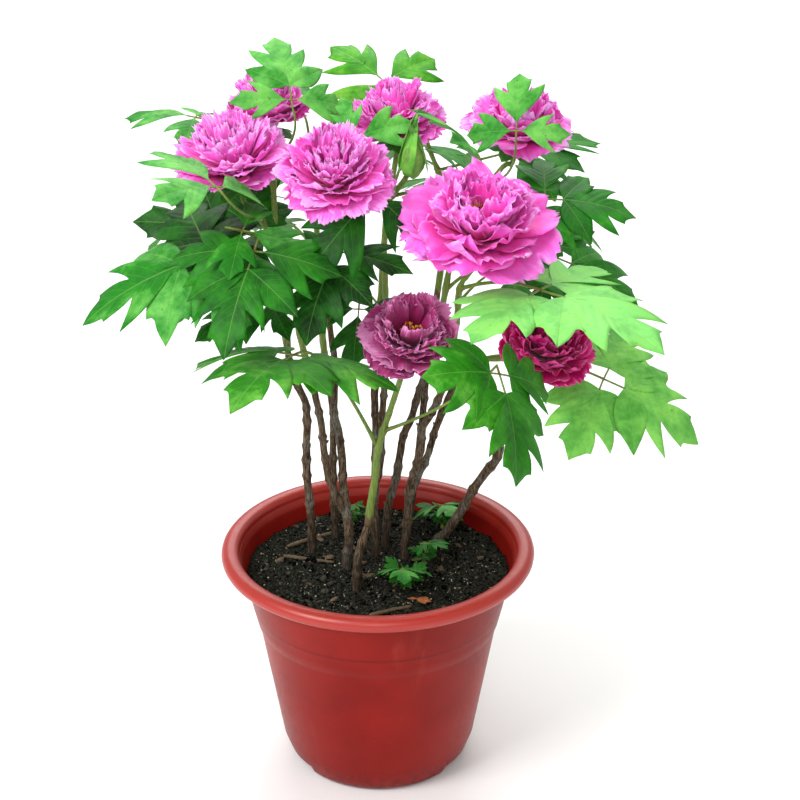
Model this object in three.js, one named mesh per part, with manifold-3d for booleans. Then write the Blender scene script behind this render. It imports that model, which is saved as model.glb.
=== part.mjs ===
import * as THREE from 'three';
import { mergeVertices } from 'three/addons/utils/BufferGeometryUtils.js';
import Module from 'manifold-3d';

// A tree peony in flower, growing in a round plastic nursery pot.
// Millimetres, +Z up. The origin is the centre of the pot's underside, -Y is the front, +X the right.

// Driving dimensions of the pot
const POT_SIDES = 26;
const POT_HEIGHT = 257;
const RIM_RADIUS = 170;
const RIM_INNER_RADIUS = 151;
const RIM_DEPTH = 16;
const COLLAR_RADIUS = 149;
const COLLAR_FOOT_RADIUS = 137.6;
const COLLAR_FOOT_HEIGHT = 188;
const STEP_RADIUS = 131;
const STEP_HEIGHT = 168;
const FOOT_RADIUS = 107;
const FOOT_HEIGHT = 30;
const BASE_RADIUS = 90;
const BASE_CHAMFER_RADIUS = 98;
const BASE_CHAMFER_HEIGHT = 8;
const POT_WALL = 3;
const POT_FLOOR = 4;
const NOTCH_AZIMUTHS = [-30, 90, 210];
const NOTCH_HALF_ANGLE = 13;
const NOTCH_HEIGHT = 13;
const NOTCH_INNER_RADIUS = 82;
const DRAIN_RADIUS = 7;
const DRAIN_RING_RADIUS = 52;
const DRAIN_AZIMUTHS = [30, 150, 270];

// Driving dimensions of the soil
const SOIL_EDGE_HEIGHT = 225;
const SOIL_MOUND = 5;
const HOLE_CLEARANCE = 0.5;

// Driving dimensions of the plant
const FIT_GAP = 0.3;
const CANE_SIDES = 5;
const CANE_FOOT_HEIGHT = 175;
const STEM_SIDES = 5;
const STALK_SIDES = 3;
const LEAF_THICKNESS = 1.7;
const PETAL_THICKNESS = 1.5;
const PETIOLE_RADIUS = 1.9;
const STALKLET_RADIUS = 1.3;
const NECK_LENGTH = 9;
const TERMINAL_LEAFLET = 102;
const SIDE_LEAFLET = 74;
const CENTRE_STALKLET = 33;
const SIDE_STALKLET = 25;
const CORE_RADIUS = 12;
const CORE_HEIGHT = 14;
const SEAT_DEPTH = 0.24;
const CALYX_DROP = 3;
const CALYX_THICKNESS = 5.4;
const SEPAL_LENGTH = 30;

// Plain colours of each kind of part
const COLOURS = {
  pot: 0xb0382f,
  soil: 0x2b2320,
  cane: 0x6b4a3c,
  leaf: 0x4b9a3a,
  sprout: 0x4fae4a,
  petal: 0xd64fb4,
  duskyPetal: 0xa83a86,
  deepPetal: 0xc0287c,
  stamen: 0xf0a23a,
  twig: 0x7d6a5a,
};

// Woody canes: each branch is a list of points from the soil up, with a first and last radius
const CANES = {
  cane_1: [{
    radii: [5.6, 4.2],
    points: [[-73, 27, 240], [-74, 25, 287], [-77, 20, 336], [-76, 15, 368], [-75, 10, 411],
      [-81, 5, 435], [-87, 0, 451], [-92, -5, 480]],
  }],
  cane_2: [{
    radii: [6.2, 4.2],
    points: [[-34, -11, 240], [-31, -10, 266], [-34, -5, 303], [-37, 0, 326], [-38, 5, 355],
      [-42, 12, 387], [-47, 20, 406], [-55, 35, 452]],
  }, {
    radii: [4.6, 4],
    points: [[-33, -6, 292], [-45, -8, 318], [-53, -9, 345], [-57, -12, 381], [-59, -14, 407],
      [-67, -18, 454]],
  }],
  cane_3: [{
    radii: [6.4, 4.6],
    points: [[-22, -57, 240], [-20, -55, 271], [-10, -52, 304]],
  }],
  cane_4: [{
    radii: [5.8, 4.2],
    points: [[-3, 13, 240], [-4, 15, 292], [-3, 20, 325], [-2, 25, 381], [-3, 30, 424], [1, 40, 467]],
  }, {
    radii: [4.4, 3.8],
    points: [[-3.5, 17, 315], [3, 19, 345], [5, 18, 399], [7, 15, 430], [9, 12, 456]],
  }],
  cane_5: [{
    radii: [5.6, 4.2],
    points: [[8.5, 38, 240], [11, 40, 280], [20, 43, 315], [27, 50, 359], [36, 55, 379], [43, 60, 404],
      [56, 65, 445]],
  }],
  cane_6: [{
    radii: [6, 4.2],
    points: [[29.5, 13, 240], [32, 10, 279], [35, 5, 323], [43, 0, 355], [47, -5, 382],
      [48, -8, 399], [56, -12, 415], [66, -20, 442]],
  }, {
    radii: [4.6, 4],
    points: [[34, 6, 310], [44, 9, 334], [54, 13, 357], [63, 16, 388], [77, 20, 424], [95, 10, 467]],
  }],
  cane_7: [{
    radii: [6, 5.2],
    points: [[62, 23, 240], [76, 20, 260], [91, 10, 292], [104, 2, 322], [117, -6, 347],
      [126, -10, 362], [130, -11, 379]],
  }],
  cane_8: [{
    radii: [5, 4],
    points: [[-48, 58, 240], [-50, 68, 290], [-50, 84, 350], [-48, 104, 420], [-56, 126, 480]],
  }],
  cane_9: [{
    radii: [5, 4],
    points: [[34, 78, 240], [42, 88, 300], [50, 106, 370], [56, 126, 430], [64, 146, 480]],
  }],
};

// Double blooms: the middle of the flower, its width, the lean of its axis and its turn round it
const BLOOMS = {
  bloom_1: { middle: [-140, -28, 706], diameter: 134, lean: [-0.15, -0.22, 1], turn: 10 },
  bloom_2: { middle: [-38, -116, 718], diameter: 122, lean: [0, -0.5, 1], turn: 35 },
  bloom_3: { middle: [100, -140, 681], diameter: 156, lean: [0.05, -0.4, 1], turn: 0 },
  bloom_4: { middle: [34, -114, 549], diameter: 108, lean: [0.1, -0.7, 1], turn: 20, colour: 'duskyPetal' },
  bloom_5: { middle: [170, -98, 534], diameter: 110, lean: [0.3, -0.6, 1], turn: 50, colour: 'deepPetal' },
  bloom_6: { middle: [146, 60, 713], diameter: 113, lean: [0.12, -0.25, 1], turn: 25 },
  bloom_7: { middle: [20, 70, 717], diameter: 112, lean: [0, -0.25, 1], turn: 5 },
  bloom_8: { middle: [-114, 86, 722], diameter: 104, lean: [-0.12, 0, 1], turn: 40 },
};

// Leafy shoots: the cane branch that each grows from, the stem's points and its leaves.
// A leaf leaves the stem at a share of its length; yaw 0 points right, 90 back and -90 to the front.
// Its stalk bends towards a bow point where one is given, to pass clear of what is beside it.
const SHOOTS = {
  shoot_1: {
    cane: ['cane_2', 1], bloom: 'bloom_1',
    stem: [[-78, -20, 504], [-92, -22, 577], [-115, -22, 635]],
    leaves: [
      { at: 0.55, hub: [-116, -112, 634], yaw: -105, pitch: -32, roll: 0, size: 0.85, kind: 'middle' },
      { at: 0.8, hub: [-147, -144, 709], yaw: 132, pitch: 20, roll: 15, size: 0.72, kind: 'upper',
        bow: [-126, -150, 682] },
      { at: 0.72, hub: [-128, -92, 648], yaw: -10, pitch: -8, roll: 18, size: 0.58, kind: 'upper' },
    ],
  },
  shoot_2: {
    cane: ['cane_2', 0], bloom: 'bloom_2',
    stem: [[-58, 30, 500], [-52, 0, 560], [-42, -55, 625]],
    leaves: [
      { at: 0.55, hub: [-36, -85, 624], yaw: -115, pitch: -32, roll: 0, size: 0.75, kind: 'middle' },
      { at: 0.3, hub: [-126, 80, 585], yaw: 160, pitch: -20, roll: 0, size: 0.75, kind: 'upper' },
    ],
  },
  shoot_3: {
    cane: ['cane_6', 0], bloom: 'bloom_3',
    stem: [[75, -38, 490], [81, -60, 540], [83, -92, 590]],
    leaves: [
      { at: 0.7, hub: [155, -168, 616], yaw: -38, pitch: -2, roll: 0, size: 1.05, kind: 'full' },
      { at: 0.6, hub: [132, -60, 592], yaw: 15, pitch: -10, roll: 15, size: 0.6, kind: 'upper' },
    ],
  },
  shoot_4: {
    cane: ['cane_3', 0], bloom: 'bloom_4',
    stem: [[-7, -50, 328], [-2, -52, 361], [1, -55, 395], [10, -62, 430], [23, -78, 480]],
    leaves: [
      { at: 0.4, hub: [-80, -112, 526], yaw: -112, pitch: 10, roll: 0, size: 1.02, kind: 'full' },
      { at: 0.5, hub: [117, -205, 546], yaw: -70, pitch: -42, roll: -30, size: 0.8, kind: 'full',
        bow: [84, -150, 490] },
    ],
  },
  shoot_5: {
    cane: ['cane_6', 1], bloom: 'bloom_5',
    stem: [[114, -14, 480], [140, -42, 492]],
    leaves: [
      { at: 0.4, hub: [230, -66, 480], yaw: -15, pitch: -20, roll: 25, size: 0.88, kind: 'full' },
    ],
  },
  shoot_6: {
    cane: ['cane_5', 0], bloom: 'bloom_6',
    stem: [[70, 70, 509], [80, 74, 560], [105, 70, 620], [130, 64, 662]],
    leaves: [
      { at: 0.55, hub: [172, 26, 640], yaw: 0, pitch: -2, roll: 25, size: 0.72, kind: 'full' },
      { at: 0.3, hub: [184, 60, 566], yaw: -5, pitch: -22, roll: 25, size: 0.85, kind: 'full' },
      { at: 0.8, hub: [138, -24, 727], yaw: 85, pitch: 55, roll: -8, size: 0.52, kind: 'upper',
        bow: [140, -14, 676] },
    ],
  },
  shoot_7: {
    cane: ['cane_4', 0], bloom: 'bloom_7',
    stem: [[4, 46, 530], [10, 56, 610]],
    leaves: [
      { at: 0.2, hub: [-18, -26, 540], yaw: -95, pitch: -40, roll: 0, size: 0.5, kind: 'upper' },
      { at: 0.7, hub: [-20, -12, 716], yaw: 10, pitch: 20, roll: 50, size: 0.5, kind: 'upper',
        bow: [-40, 5, 680] },
      { at: 0.6, hub: [40, 150, 655], yaw: 70, pitch: -10, roll: 0, size: 0.8, kind: 'middle' },
    ],
  },
  shoot_8: {
    cane: ['cane_1', 0], bloom: 'bloom_8',
    stem: [[-98, 5, 540], [-104, 35, 600], [-108, 68, 660]],
    leaves: [
      { at: 0.08, hub: [-108, -62, 566], yaw: 200, pitch: -16, roll: -8, size: 0.62, kind: 'middle',
        bow: [-110, -25, 530] },
      { at: 0.2, hub: [-164, -68, 614], yaw: 190, pitch: -18, roll: -20, size: 1.08, kind: 'full' },
      { at: 0.4, hub: [-141, 26, 604], yaw: 172, pitch: 9, roll: -48, size: 0.85, kind: 'full' },
      { at: 0.85, hub: [-84, 16, 747], yaw: 102, pitch: 48, roll: 8, size: 0.6, kind: 'middle',
        bow: [-72, 0, 712] },
      { at: 0.75, hub: [-184, 54, 718], yaw: 175, pitch: 10, roll: 0, size: 0.6, kind: 'upper',
        bow: [-168, 50, 672] },
    ],
  },
  shoot_9: {
    cane: ['cane_4', 1], bud: [37, -45, 701],
    stem: [[9, 5, 549], [8, 0, 600], [13, -14, 650], [28, -36, 680]],
    leaves: [
      { at: 0.8, hub: [94, -50, 717], yaw: 145, pitch: 35, roll: 35, size: 0.62, kind: 'upper',
        bow: [112, -52, 692] },
      { at: 0.8, hub: [0, -84, 682], yaw: 212, pitch: -35, roll: -35, size: 0.74, kind: 'upper' },
    ],
  },
  shoot_10: {
    cane: ['cane_8', 0],
    stem: [[-64, 145, 540], [-72, 165, 600], [-74, 175, 640]],
    leaves: [
      { at: 0.35, hub: [-165, 195, 575], yaw: 165, pitch: -20, roll: 0, size: 0.9, kind: 'full' },
      { at: 0.55, hub: [-95, 250, 605], yaw: 110, pitch: -20, roll: 0, size: 0.85, kind: 'full' },
      { at: 0.75, hub: [-5, 245, 625], yaw: 80, pitch: -15, roll: 0, size: 0.75, kind: 'middle' },
      { at: 1, hub: [-85, 180, 690], yaw: 120, pitch: 15, roll: 0, size: 0.75, kind: 'middle' },
    ],
  },
  shoot_11: {
    cane: ['cane_9', 0],
    stem: [[72, 165, 540], [72, 170, 600], [52, 165, 660]],
    leaves: [
      { at: 0.35, hub: [165, 215, 565], yaw: 40, pitch: -20, roll: 0, size: 0.9, kind: 'full' },
      { at: 0.5, hub: [85, 260, 585], yaw: 85, pitch: -25, roll: 0, size: 0.8, kind: 'middle' },
      { at: 0.8, hub: [150, 160, 650], yaw: 25, pitch: 5, roll: 10, size: 0.8, kind: 'middle' },
      { at: 1, hub: [8, 140, 731], yaw: 135, pitch: 25, roll: -20, size: 0.72, kind: 'upper' },
    ],
  },
};

// Young sprouts in the soil: foot on the soil, height of the hub, direction and size
const SPROUTS = {
  sprout_1: { foot: [29, -50], hub: [27, -62, 258], yaw: -90, size: 0.32, kind: 'upper' },
  sprout_2: { foot: [50, -5], hub: [54, -12, 262], yaw: -40, size: 0.22, kind: 'upper' },
  sprout_3: { foot: [72, 92], hub: [70, 82, 260], yaw: -70, size: 0.36, kind: 'upper' },
  sprout_4: { foot: [-30, 96], hub: [-28, 90, 256], yaw: -100, size: 0.2, kind: 'upper' },
};

// Broken twigs that lie on the soil, from end to end
const TWIGS = {
  twig_1: { from: [-101, 42], to: [-52, 72], radius: 2.4 },
  twig_2: { from: [-104, 20], to: [-48, 2], radius: 2 },
  twig_3: { from: [-8, -110], to: [36, -92], radius: 2.4 },
};

const wasm = await Module();
wasm.setup();

const radians = (angle) => angle * Math.PI / 180;
const vector = ([x, y, z]) => new THREE.Vector3(x, y, z);
const mix = (a, b, share) => a + (b - a) * share;

// Builds a closed geometry from points and triangles of point numbers
function closedGeometry(points, triangles) {
  const geometry = new THREE.BufferGeometry();
  geometry.setAttribute('position', new THREE.Float32BufferAttribute(points.flatMap((p) => p.toArray()), 3));
  geometry.setIndex(triangles.flat());
  return geometry;
}

// Turns a closed geometry into a solid whose shared vertices are merged
function solidOf(geometry) {
  const bare = geometry.clone();
  bare.deleteAttribute('normal');
  bare.deleteAttribute('uv');
  const merged = mergeVertices(bare, 1e-4);
  const index = [...merged.index.array];
  const kept = [];
  for (let i = 0; i < index.length; i += 3) {
    const [a, b, c] = index.slice(i, i + 3);
    if (a !== b && b !== c && c !== a) kept.push(a, b, c);
  }
  return new wasm.Manifold(new wasm.Mesh({
    numProp: 3,
    vertProperties: new Float32Array(merged.attributes.position.array),
    triVerts: new Uint32Array(kept),
  }));
}

// Gives a solid back as a geometry
function geometryOf(solid) {
  const mesh = solid.getMesh();
  const geometry = new THREE.BufferGeometry();
  geometry.setAttribute('position', new THREE.BufferAttribute(mesh.vertProperties, 3));
  geometry.setIndex(new THREE.BufferAttribute(mesh.triVerts, 1));
  geometry.computeVertexNormals();
  return geometry;
}

const fused = (geometries) => wasm.Manifold.union(geometries.map(solidOf));
const lathe = (profile, sides) => {
  const geometry = new THREE.LatheGeometry(profile.map(([r, z]) => new THREE.Vector2(r, z)), sides);
  return geometry.rotateX(Math.PI / 2);
};

// A tapering round rod through a list of points, closed at both ends
function rod(points, radii, sides, startDirection) {
  const last = points.length - 1;
  const directions = points.map((point, i) => {
    if (i === 0 && startDirection) return startDirection.clone();
    const before = points[Math.max(i - 1, 0)];
    const after = points[Math.min(i + 1, last)];
    return after.clone().sub(before).normalize();
  });
  const side = new THREE.Vector3(1, 0, 0).addScaledVector(directions[0], -directions[0].x);
  if (side.length() < 0.1) side.set(0, 1, 0).addScaledVector(directions[0], -directions[0].y);
  const vertices = [];
  points.forEach((point, i) => {
    side.addScaledVector(directions[i], -side.dot(directions[i])).normalize();
    const other = directions[i].clone().cross(side);
    const radius = mix(radii[0], radii[1], i / last);
    for (let k = 0; k < sides; k += 1) {
      const angle = 2 * Math.PI * k / sides;
      vertices.push(point.clone().addScaledVector(side, radius * Math.cos(angle))
        .addScaledVector(other, radius * Math.sin(angle)));
    }
  });
  const triangles = [];
  for (let i = 0; i < last; i += 1) {
    for (let k = 0; k < sides; k += 1) {
      const a = i * sides + k;
      const b = i * sides + (k + 1) % sides;
      triangles.push([a, b, b + sides], [a, b + sides, a + sides]);
    }
  }
  for (let k = 1; k < sides - 1; k += 1) {
    triangles.push([0, k + 1, k], [last * sides, last * sides + k, last * sides + k + 1]);
  }
  return closedGeometry(vertices, triangles);
}

// A thin blade round a branching midrib. The rim goes once round it counterclockwise, and each rim
// point is [point, number of the midrib point beside it]. The rim is sharp, and each midrib point,
// numbered outwards, is [point, thickness].
function ribbedBlade({ rim, ribs }) {
  const normals = ribs.map(() => new THREE.Vector3());
  rim.forEach(([point, rib], i) => {
    const next = rim[(i + 1) % rim.length][0];
    normals[rib].add(point.clone().sub(ribs[rib][0]).cross(next.clone().sub(ribs[rib][0])));
  });
  const face = (sign) => ribs.map(([point, thickness], i) => (
    point.clone().addScaledVector(normals[i].clone().normalize(), sign * thickness / 2)));
  const points = [...rim.map(([point]) => point), ...face(1), ...face(-1)];
  const triangles = [];
  const addPair = (...corners) => {
    const upper = corners.map(({ edge, rib }) => edge ?? rim.length + rib);
    const lower = corners.map(({ edge, rib }) => edge ?? rim.length + ribs.length + rib);
    triangles.push(upper, lower.toReversed());
  };
  rim.forEach(([, rib], i) => {
    const next = (i + 1) % rim.length;
    const nextRib = rim[next][1];
    const inner = Math.min(rib, nextRib);
    addPair({ rib: inner }, { edge: i }, { edge: next });
    if (nextRib > rib) addPair({ rib }, { edge: next }, { rib: nextRib });
    if (nextRib < rib) addPair({ rib }, { edge: i }, { rib: nextRib });
  });
  return closedGeometry(points, triangles);
}

// Leaflet outlines: share of the midrib, half-width along the side vein, and the vein's angle
const LEAFLET_ROWS = {
  lobed: [[0.16, 0.14, 52], [0.3, 0.56, 44], [0.44, 0.3, 40]],
  plain: [[0.2, 0.3, 55], [0.5, 0.36, 40]],
  sepal: [[0.5, 0.4, 60]],
};
const LEAFLET_DROOP = 32;
const LEAFLET_FOLD = 0.16;
const SINUS_DEPTH = 3;

// A point of a leaflet, which arches along its midrib and is folded a little up from it
function leafletPoint({ frame, start, angle, length }, along, across) {
  const bend = radians(LEAFLET_DROOP);
  const turned = bend * along / length;
  const forward = length / bend * Math.sin(turned);
  const up = LEAFLET_FOLD * Math.abs(across) - length / bend * (1 - Math.cos(turned));
  const heading = radians(angle);
  return new THREE.Vector3(
    start.x + forward * Math.cos(heading) + across * Math.sin(heading),
    start.y + forward * Math.sin(heading) - across * Math.cos(heading),
    start.z + up,
  ).applyMatrix4(frame);
}

// Adds one leaflet to a blade: out along its right side, round the tip and back along its left
function addLeaflet(blade, place, rows) {
  const first = blade.ribs.length;
  const edge = ([share, halfWidth, vein], side) => {
    const reach = halfWidth * place.length;
    return leafletPoint(place, share * place.length + reach * Math.cos(radians(vein)),
      side * reach * Math.sin(radians(vein)));
  };
  rows.forEach(([share]) => blade.ribs.push([leafletPoint(place, share * place.length, 0), LEAF_THICKNESS]));
  rows.forEach((row, i) => blade.rim.push([edge(row, 1), first + i]));
  blade.rim.push([leafletPoint(place, place.length, 0), first + rows.length - 1]);
  rows.toReversed().forEach((row, i) => blade.rim.push([edge(row, -1), first + rows.length - 1 - i]));
}

// The frame of a leaf: its hub, with +X forward, +Y to its left and +Z out of its upper face
function leafFrame({ hub, yaw, pitch, roll }) {
  const turn = new THREE.Matrix4().makeRotationZ(radians(yaw));
  turn.multiply(new THREE.Matrix4().makeRotationY(radians(-pitch)));
  turn.multiply(new THREE.Matrix4().makeRotationX(radians(roll)));
  return new THREE.Matrix4().makeTranslation(...hub).multiply(turn);
}

// Leaf kinds: how many leaflets the centre and side divisions have, and where they point
const LEAF_KINDS = {
  full: { centre: 3, side: 3 },
  middle: { centre: 3, side: 1 },
  upper: { centre: 1, side: 1 },
};
const DIVISION_SPREAD = 88;
const LEAFLET_SPREAD = 60;

// A compound leaf in one blade: a stalk from its foot, and three divisions on stalklets, each with
// one or three leaflets. The stalk is a flat bar that curves up to the leaf's hub.
function leaf(foot, spec) {
  const frame = leafFrame(spec);
  const kind = LEAF_KINDS[spec.kind];
  const polar = (centre, angle, distance) => centre.clone().add(
    new THREE.Vector3(distance * Math.cos(radians(angle)), distance * Math.sin(radians(angle)), 0));
  const hub = new THREE.Vector3();
  const hubPlace = vector(spec.hub);
  const forward = polar(hub, 0, 1).applyMatrix4(frame).sub(hubPlace);
  const right = polar(hub, -90, 1).applyMatrix4(frame).sub(hubPlace);
  const bow = spec.bow ? vector(spec.bow)
    : hubPlace.clone().addScaledVector(forward, -0.45 * hubPlace.distanceTo(foot));
  const neck = hubPlace.clone().addScaledVector(forward, -NECK_LENGTH);
  const curve = new THREE.QuadraticBezierCurve3(foot, bow, neck);
  const blade = { rim: [], ribs: [] };
  const barEdges = [0, 1, 2].map((step) => {
    const share = step / 2;
    const point = curve.getPoint(share);
    const tangent = curve.getTangent(share);
    const side = right.clone().addScaledVector(tangent, -right.dot(tangent)).setLength(PETIOLE_RADIUS);
    blade.ribs.push([point, PETIOLE_RADIUS * 2]);
    return [point.clone().add(side), point.clone().sub(side)];
  });
  const centre = blade.ribs.length;
  blade.ribs.push([hubPlace, PETIOLE_RADIUS * 1.6]);
  barEdges.forEach(([right], i) => blade.rim.push([right, i]));
  const addRim = (point, rib) => blade.rim.push([point.applyMatrix4(frame), rib]);
  [-1, 0, 1].forEach((side) => {
    const turn = side * DIVISION_SPREAD;
    const count = side === 0 ? kind.centre : kind.side;
    const scale = spec.size * (side === 0 ? 1 : 0.85);
    const stalk = spec.size * (side === 0 ? CENTRE_STALKLET : SIDE_STALKLET) * (count === 1 ? 0.6 : 1);
    const start = polar(hub, turn, stalk);
    const node = blade.ribs.length;
    blade.ribs.push([start.clone().applyMatrix4(frame), STALKLET_RADIUS * 2]);
    addRim(polar(hub, turn - (side === -1 ? 60 : DIVISION_SPREAD / 2), STALKLET_RADIUS * 1.6), centre);
    addRim(polar(start, turn - 100, STALKLET_RADIUS), node);
    const spreads = count === 3 ? [-LEAFLET_SPREAD, 0, LEAFLET_SPREAD] : [0];
    spreads.forEach((spread, i) => {
      const isCentre = spread === 0;
      const length = (isCentre ? TERMINAL_LEAFLET : SIDE_LEAFLET) * scale;
      if (i > 0) addRim(polar(start, turn + spread - LEAFLET_SPREAD / 2, SINUS_DEPTH), node);
      addLeaflet(blade, { frame, start, angle: turn + spread, length },
        isCentre ? LEAFLET_ROWS.lobed : LEAFLET_ROWS.plain);
    });
    addRim(polar(start, turn + 100, STALKLET_RADIUS), node);
  });
  addRim(polar(hub, DIVISION_SPREAD + 60, STALKLET_RADIUS * 1.6), centre);
  barEdges.toReversed().forEach(([, left], i) => blade.rim.push([left, barEdges.length - 1 - i]));
  return ribbedBlade(blade);
}

// The frame of a bloom: its seat on the stem, with +Z along its axis
function bloomFrame({ middle, diameter, lean, turn }) {
  const axis = vector(lean).normalize();
  const seat = vector(middle).addScaledVector(axis, -SEAT_DEPTH * diameter);
  const tilt = new THREE.Matrix4().makeRotationFromQuaternion(
    new THREE.Quaternion().setFromUnitVectors(new THREE.Vector3(0, 0, 1), axis));
  tilt.multiply(new THREE.Matrix4().makeRotationZ(radians(turn)));
  return new THREE.Matrix4().makeTranslation(seat.x, seat.y, seat.z).multiply(tilt);
}

// Rings of petals, outermost first: root is a radius and a height, and lengths and half-widths are
// shares of the bloom's radius
const PETAL_RINGS = [
  { count: 6, root: [7, 4], length: 0.93, halfWidth: 0.54, lean: [54, 98], cup: 0.22, swirl: 0.2, turn: 0 },
  { count: 6, root: [8, 7], length: 0.86, halfWidth: 0.42, lean: [40, 58], cup: 0.2, swirl: -0.34, turn: 20 },
  { count: 5, root: [8.5, 9], length: 0.78, halfWidth: 0.3, lean: [27, 31], cup: 0.14, swirl: 0.4, turn: 10,
    isSmall: true },
  { count: 3, root: [9, 11], length: 0.66, halfWidth: 0.26, lean: [12, 2], cup: 0.1, swirl: -0.5, turn: 46,
    isSmall: true },
];
const LARGE_PETAL = {
  ribs: [0.4, 0.76],
  rim: [
    { share: 0, across: 0, rib: 0 },
    { share: 0.4, across: -0.72, rib: 0 },
    { share: 0.76, across: -1, rib: 1 },
    { share: 0.93, across: -0.72, rib: 1, ruffle: 0.1 },
    { share: 1, across: -0.36, rib: 1, ruffle: -0.1 },
    { share: 0.9, across: 0, rib: 1, ruffle: 0.08 },
    { share: 1, across: 0.36, rib: 1, ruffle: -0.1 },
    { share: 0.93, across: 0.72, rib: 1, ruffle: 0.1 },
    { share: 0.76, across: 1, rib: 1 },
    { share: 0.4, across: 0.72, rib: 0 },
  ],
};
const SMALL_PETAL = {
  ribs: [0.6],
  rim: [
    { share: 0, across: 0, rib: 0 },
    { share: 0.66, across: -1, rib: 0 },
    { share: 1, across: -0.5, rib: 0, ruffle: 0.1 },
    { share: 0.88, across: 0, rib: 0, ruffle: -0.1 },
    { share: 1, across: 0.5, rib: 0, ruffle: 0.1 },
    { share: 0.66, across: 1, rib: 0 },
  ],
};

// One petal: a cupped blade that leans out from the bloom's axis and is waved at its tip
function petal(frame, ring, radius, azimuth) {
  const length = ring.length * radius;
  const width = ring.halfWidth * radius;
  const [lean0, lean1] = ring.lean.map(radians);
  const rate = (lean1 - lean0) / length;
  const place = (share, across, ruffle) => {
    const lean = mix(lean0, lean1, share);
    const out = ring.root[0] + (Math.cos(lean0) - Math.cos(lean)) / rate;
    const rise = ring.root[1] + (Math.sin(lean) - Math.sin(lean0)) / rate;
    const lift = width * (ring.cup * across * across + ring.swirl * across * share + ruffle);
    return new THREE.Vector3(out - lift * Math.cos(lean), across * width, rise + lift * Math.sin(lean))
      .applyAxisAngle(new THREE.Vector3(0, 0, 1), radians(azimuth)).applyMatrix4(frame);
  };
  const outline = ring.isSmall ? SMALL_PETAL : LARGE_PETAL;
  const ribs = outline.ribs.map((share) => [place(share, 0, 0), PETAL_THICKNESS]);
  const rim = outline.rim.map(({ share, across, rib, ruffle = 0 }) => [place(share, across, ruffle), rib]);
  return ribbedBlade({ rim, ribs });
}

// A whole double bloom: rings of petals round a small core
function bloom(spec) {
  const frame = bloomFrame(spec);
  const radius = spec.diameter / 2;
  const core = lathe([[0, 0], [CORE_RADIUS - 2, 0], [CORE_RADIUS, CORE_HEIGHT], [0, CORE_HEIGHT]], 6)
    .applyMatrix4(frame);
  const pieces = [core];
  PETAL_RINGS.forEach((ring) => {
    for (let i = 0; i < ring.count; i += 1) {
      pieces.push(petal(frame, ring, radius, ring.turn + 360 * i / ring.count));
    }
  });
  return fused(pieces);
}

// The tuft of stamens in the middle of a bloom, a small crown of points
function stamens(spec) {
  const frame = bloomFrame(spec);
  const points = 5;
  const base = CORE_HEIGHT + FIT_GAP;
  const vertices = [new THREE.Vector3(0, 0, base), new THREE.Vector3(0, 0, base + 8)];
  for (let i = 0; i < 2 * points; i += 1) {
    const angle = Math.PI * i / points;
    const isTip = i % 2 === 0;
    vertices.push(new THREE.Vector3(4.5 * Math.cos(angle), 4.5 * Math.sin(angle), base));
    const reach = isTip ? 7 : 3.4;
    const height = base + (isTip ? 18 : 7);
    vertices.push(new THREE.Vector3(reach * Math.cos(angle), reach * Math.sin(angle), height));
  }
  const triangles = [];
  for (let i = 0; i < 2 * points; i += 1) {
    const low = 2 + 2 * i;
    const nextLow = 2 + 2 * ((i + 1) % (2 * points));
    triangles.push([0, nextLow, low], [low, nextLow, nextLow + 1], [low, nextLow + 1, low + 1],
      [1, low + 1, nextLow + 1]);
  }
  return solidOf(closedGeometry(vertices.map((v) => v.applyMatrix4(frame)), triangles));
}

// The star of five short sepals under a bloom
function calyx(spec) {
  const frame = bloomFrame(spec);
  const centre = new THREE.Vector3(0, 0, -CALYX_DROP);
  const blade = { rim: [], ribs: [[centre.clone().applyMatrix4(frame), CALYX_THICKNESS]] };
  for (let azimuth = 0; azimuth < 360; azimuth += 72) {
    const sinus = new THREE.Vector3(7, 0, 0)
      .applyAxisAngle(new THREE.Vector3(0, 0, 1), radians(azimuth - 36));
    blade.rim.push([sinus.add(centre).applyMatrix4(frame), 0]);
    addLeaflet(blade, { frame, start: centre, angle: azimuth, length: SEPAL_LENGTH }, LEAFLET_ROWS.sepal);
  }
  return ribbedBlade(blade);
}

// A closed flower bud with long green bracts
function bud(middle) {
  const frame = new THREE.Matrix4().makeTranslation(...middle);
  const body = lathe([[0, -14], [7, -10], [12, 2], [9, 14], [3, 22], [0, 22]], 6).applyMatrix4(frame);
  const bracts = [{ yaw: 60, length: 66 }, { yaw: -60, length: 58 }, { yaw: 180, length: 40 }];
  return [body, ...bracts.map(({ yaw, length }) => {
    const upright = leafFrame({ hub: middle, yaw, pitch: 84, roll: 0 });
    const start = new THREE.Vector3(-4, 0, 6);
    const place = { frame: upright, start, angle: 0, length };
    const blade = { rim: [[leafletPoint(place, 0, 0), 0]], ribs: [] };
    addLeaflet(blade, place, LEAFLET_ROWS.plain);
    return ribbedBlade(blade);
  })];
}

// Points of one cane branch, from inside the soil where it is a trunk
function branchPoints(name, index) {
  const points = CANES[name][index].points.map(vector);
  if (index === 0) points.unshift(points[0].clone().setZ(CANE_FOOT_HEIGHT));
  return points;
}

function cane(name) {
  return fused(CANES[name].map((branch, index) => rod(branchPoints(name, index), branch.radii, CANE_SIDES)));
}

// A point and the direction at a share of the way along a list of points
function pointAlong(points, share) {
  const path = new THREE.CurvePath();
  for (let i = 1; i < points.length; i += 1) {
    path.add(new THREE.LineCurve3(points[i - 1], points[i]));
  }
  return path.getPointAt(Math.min(share, 0.999));
}

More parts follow.
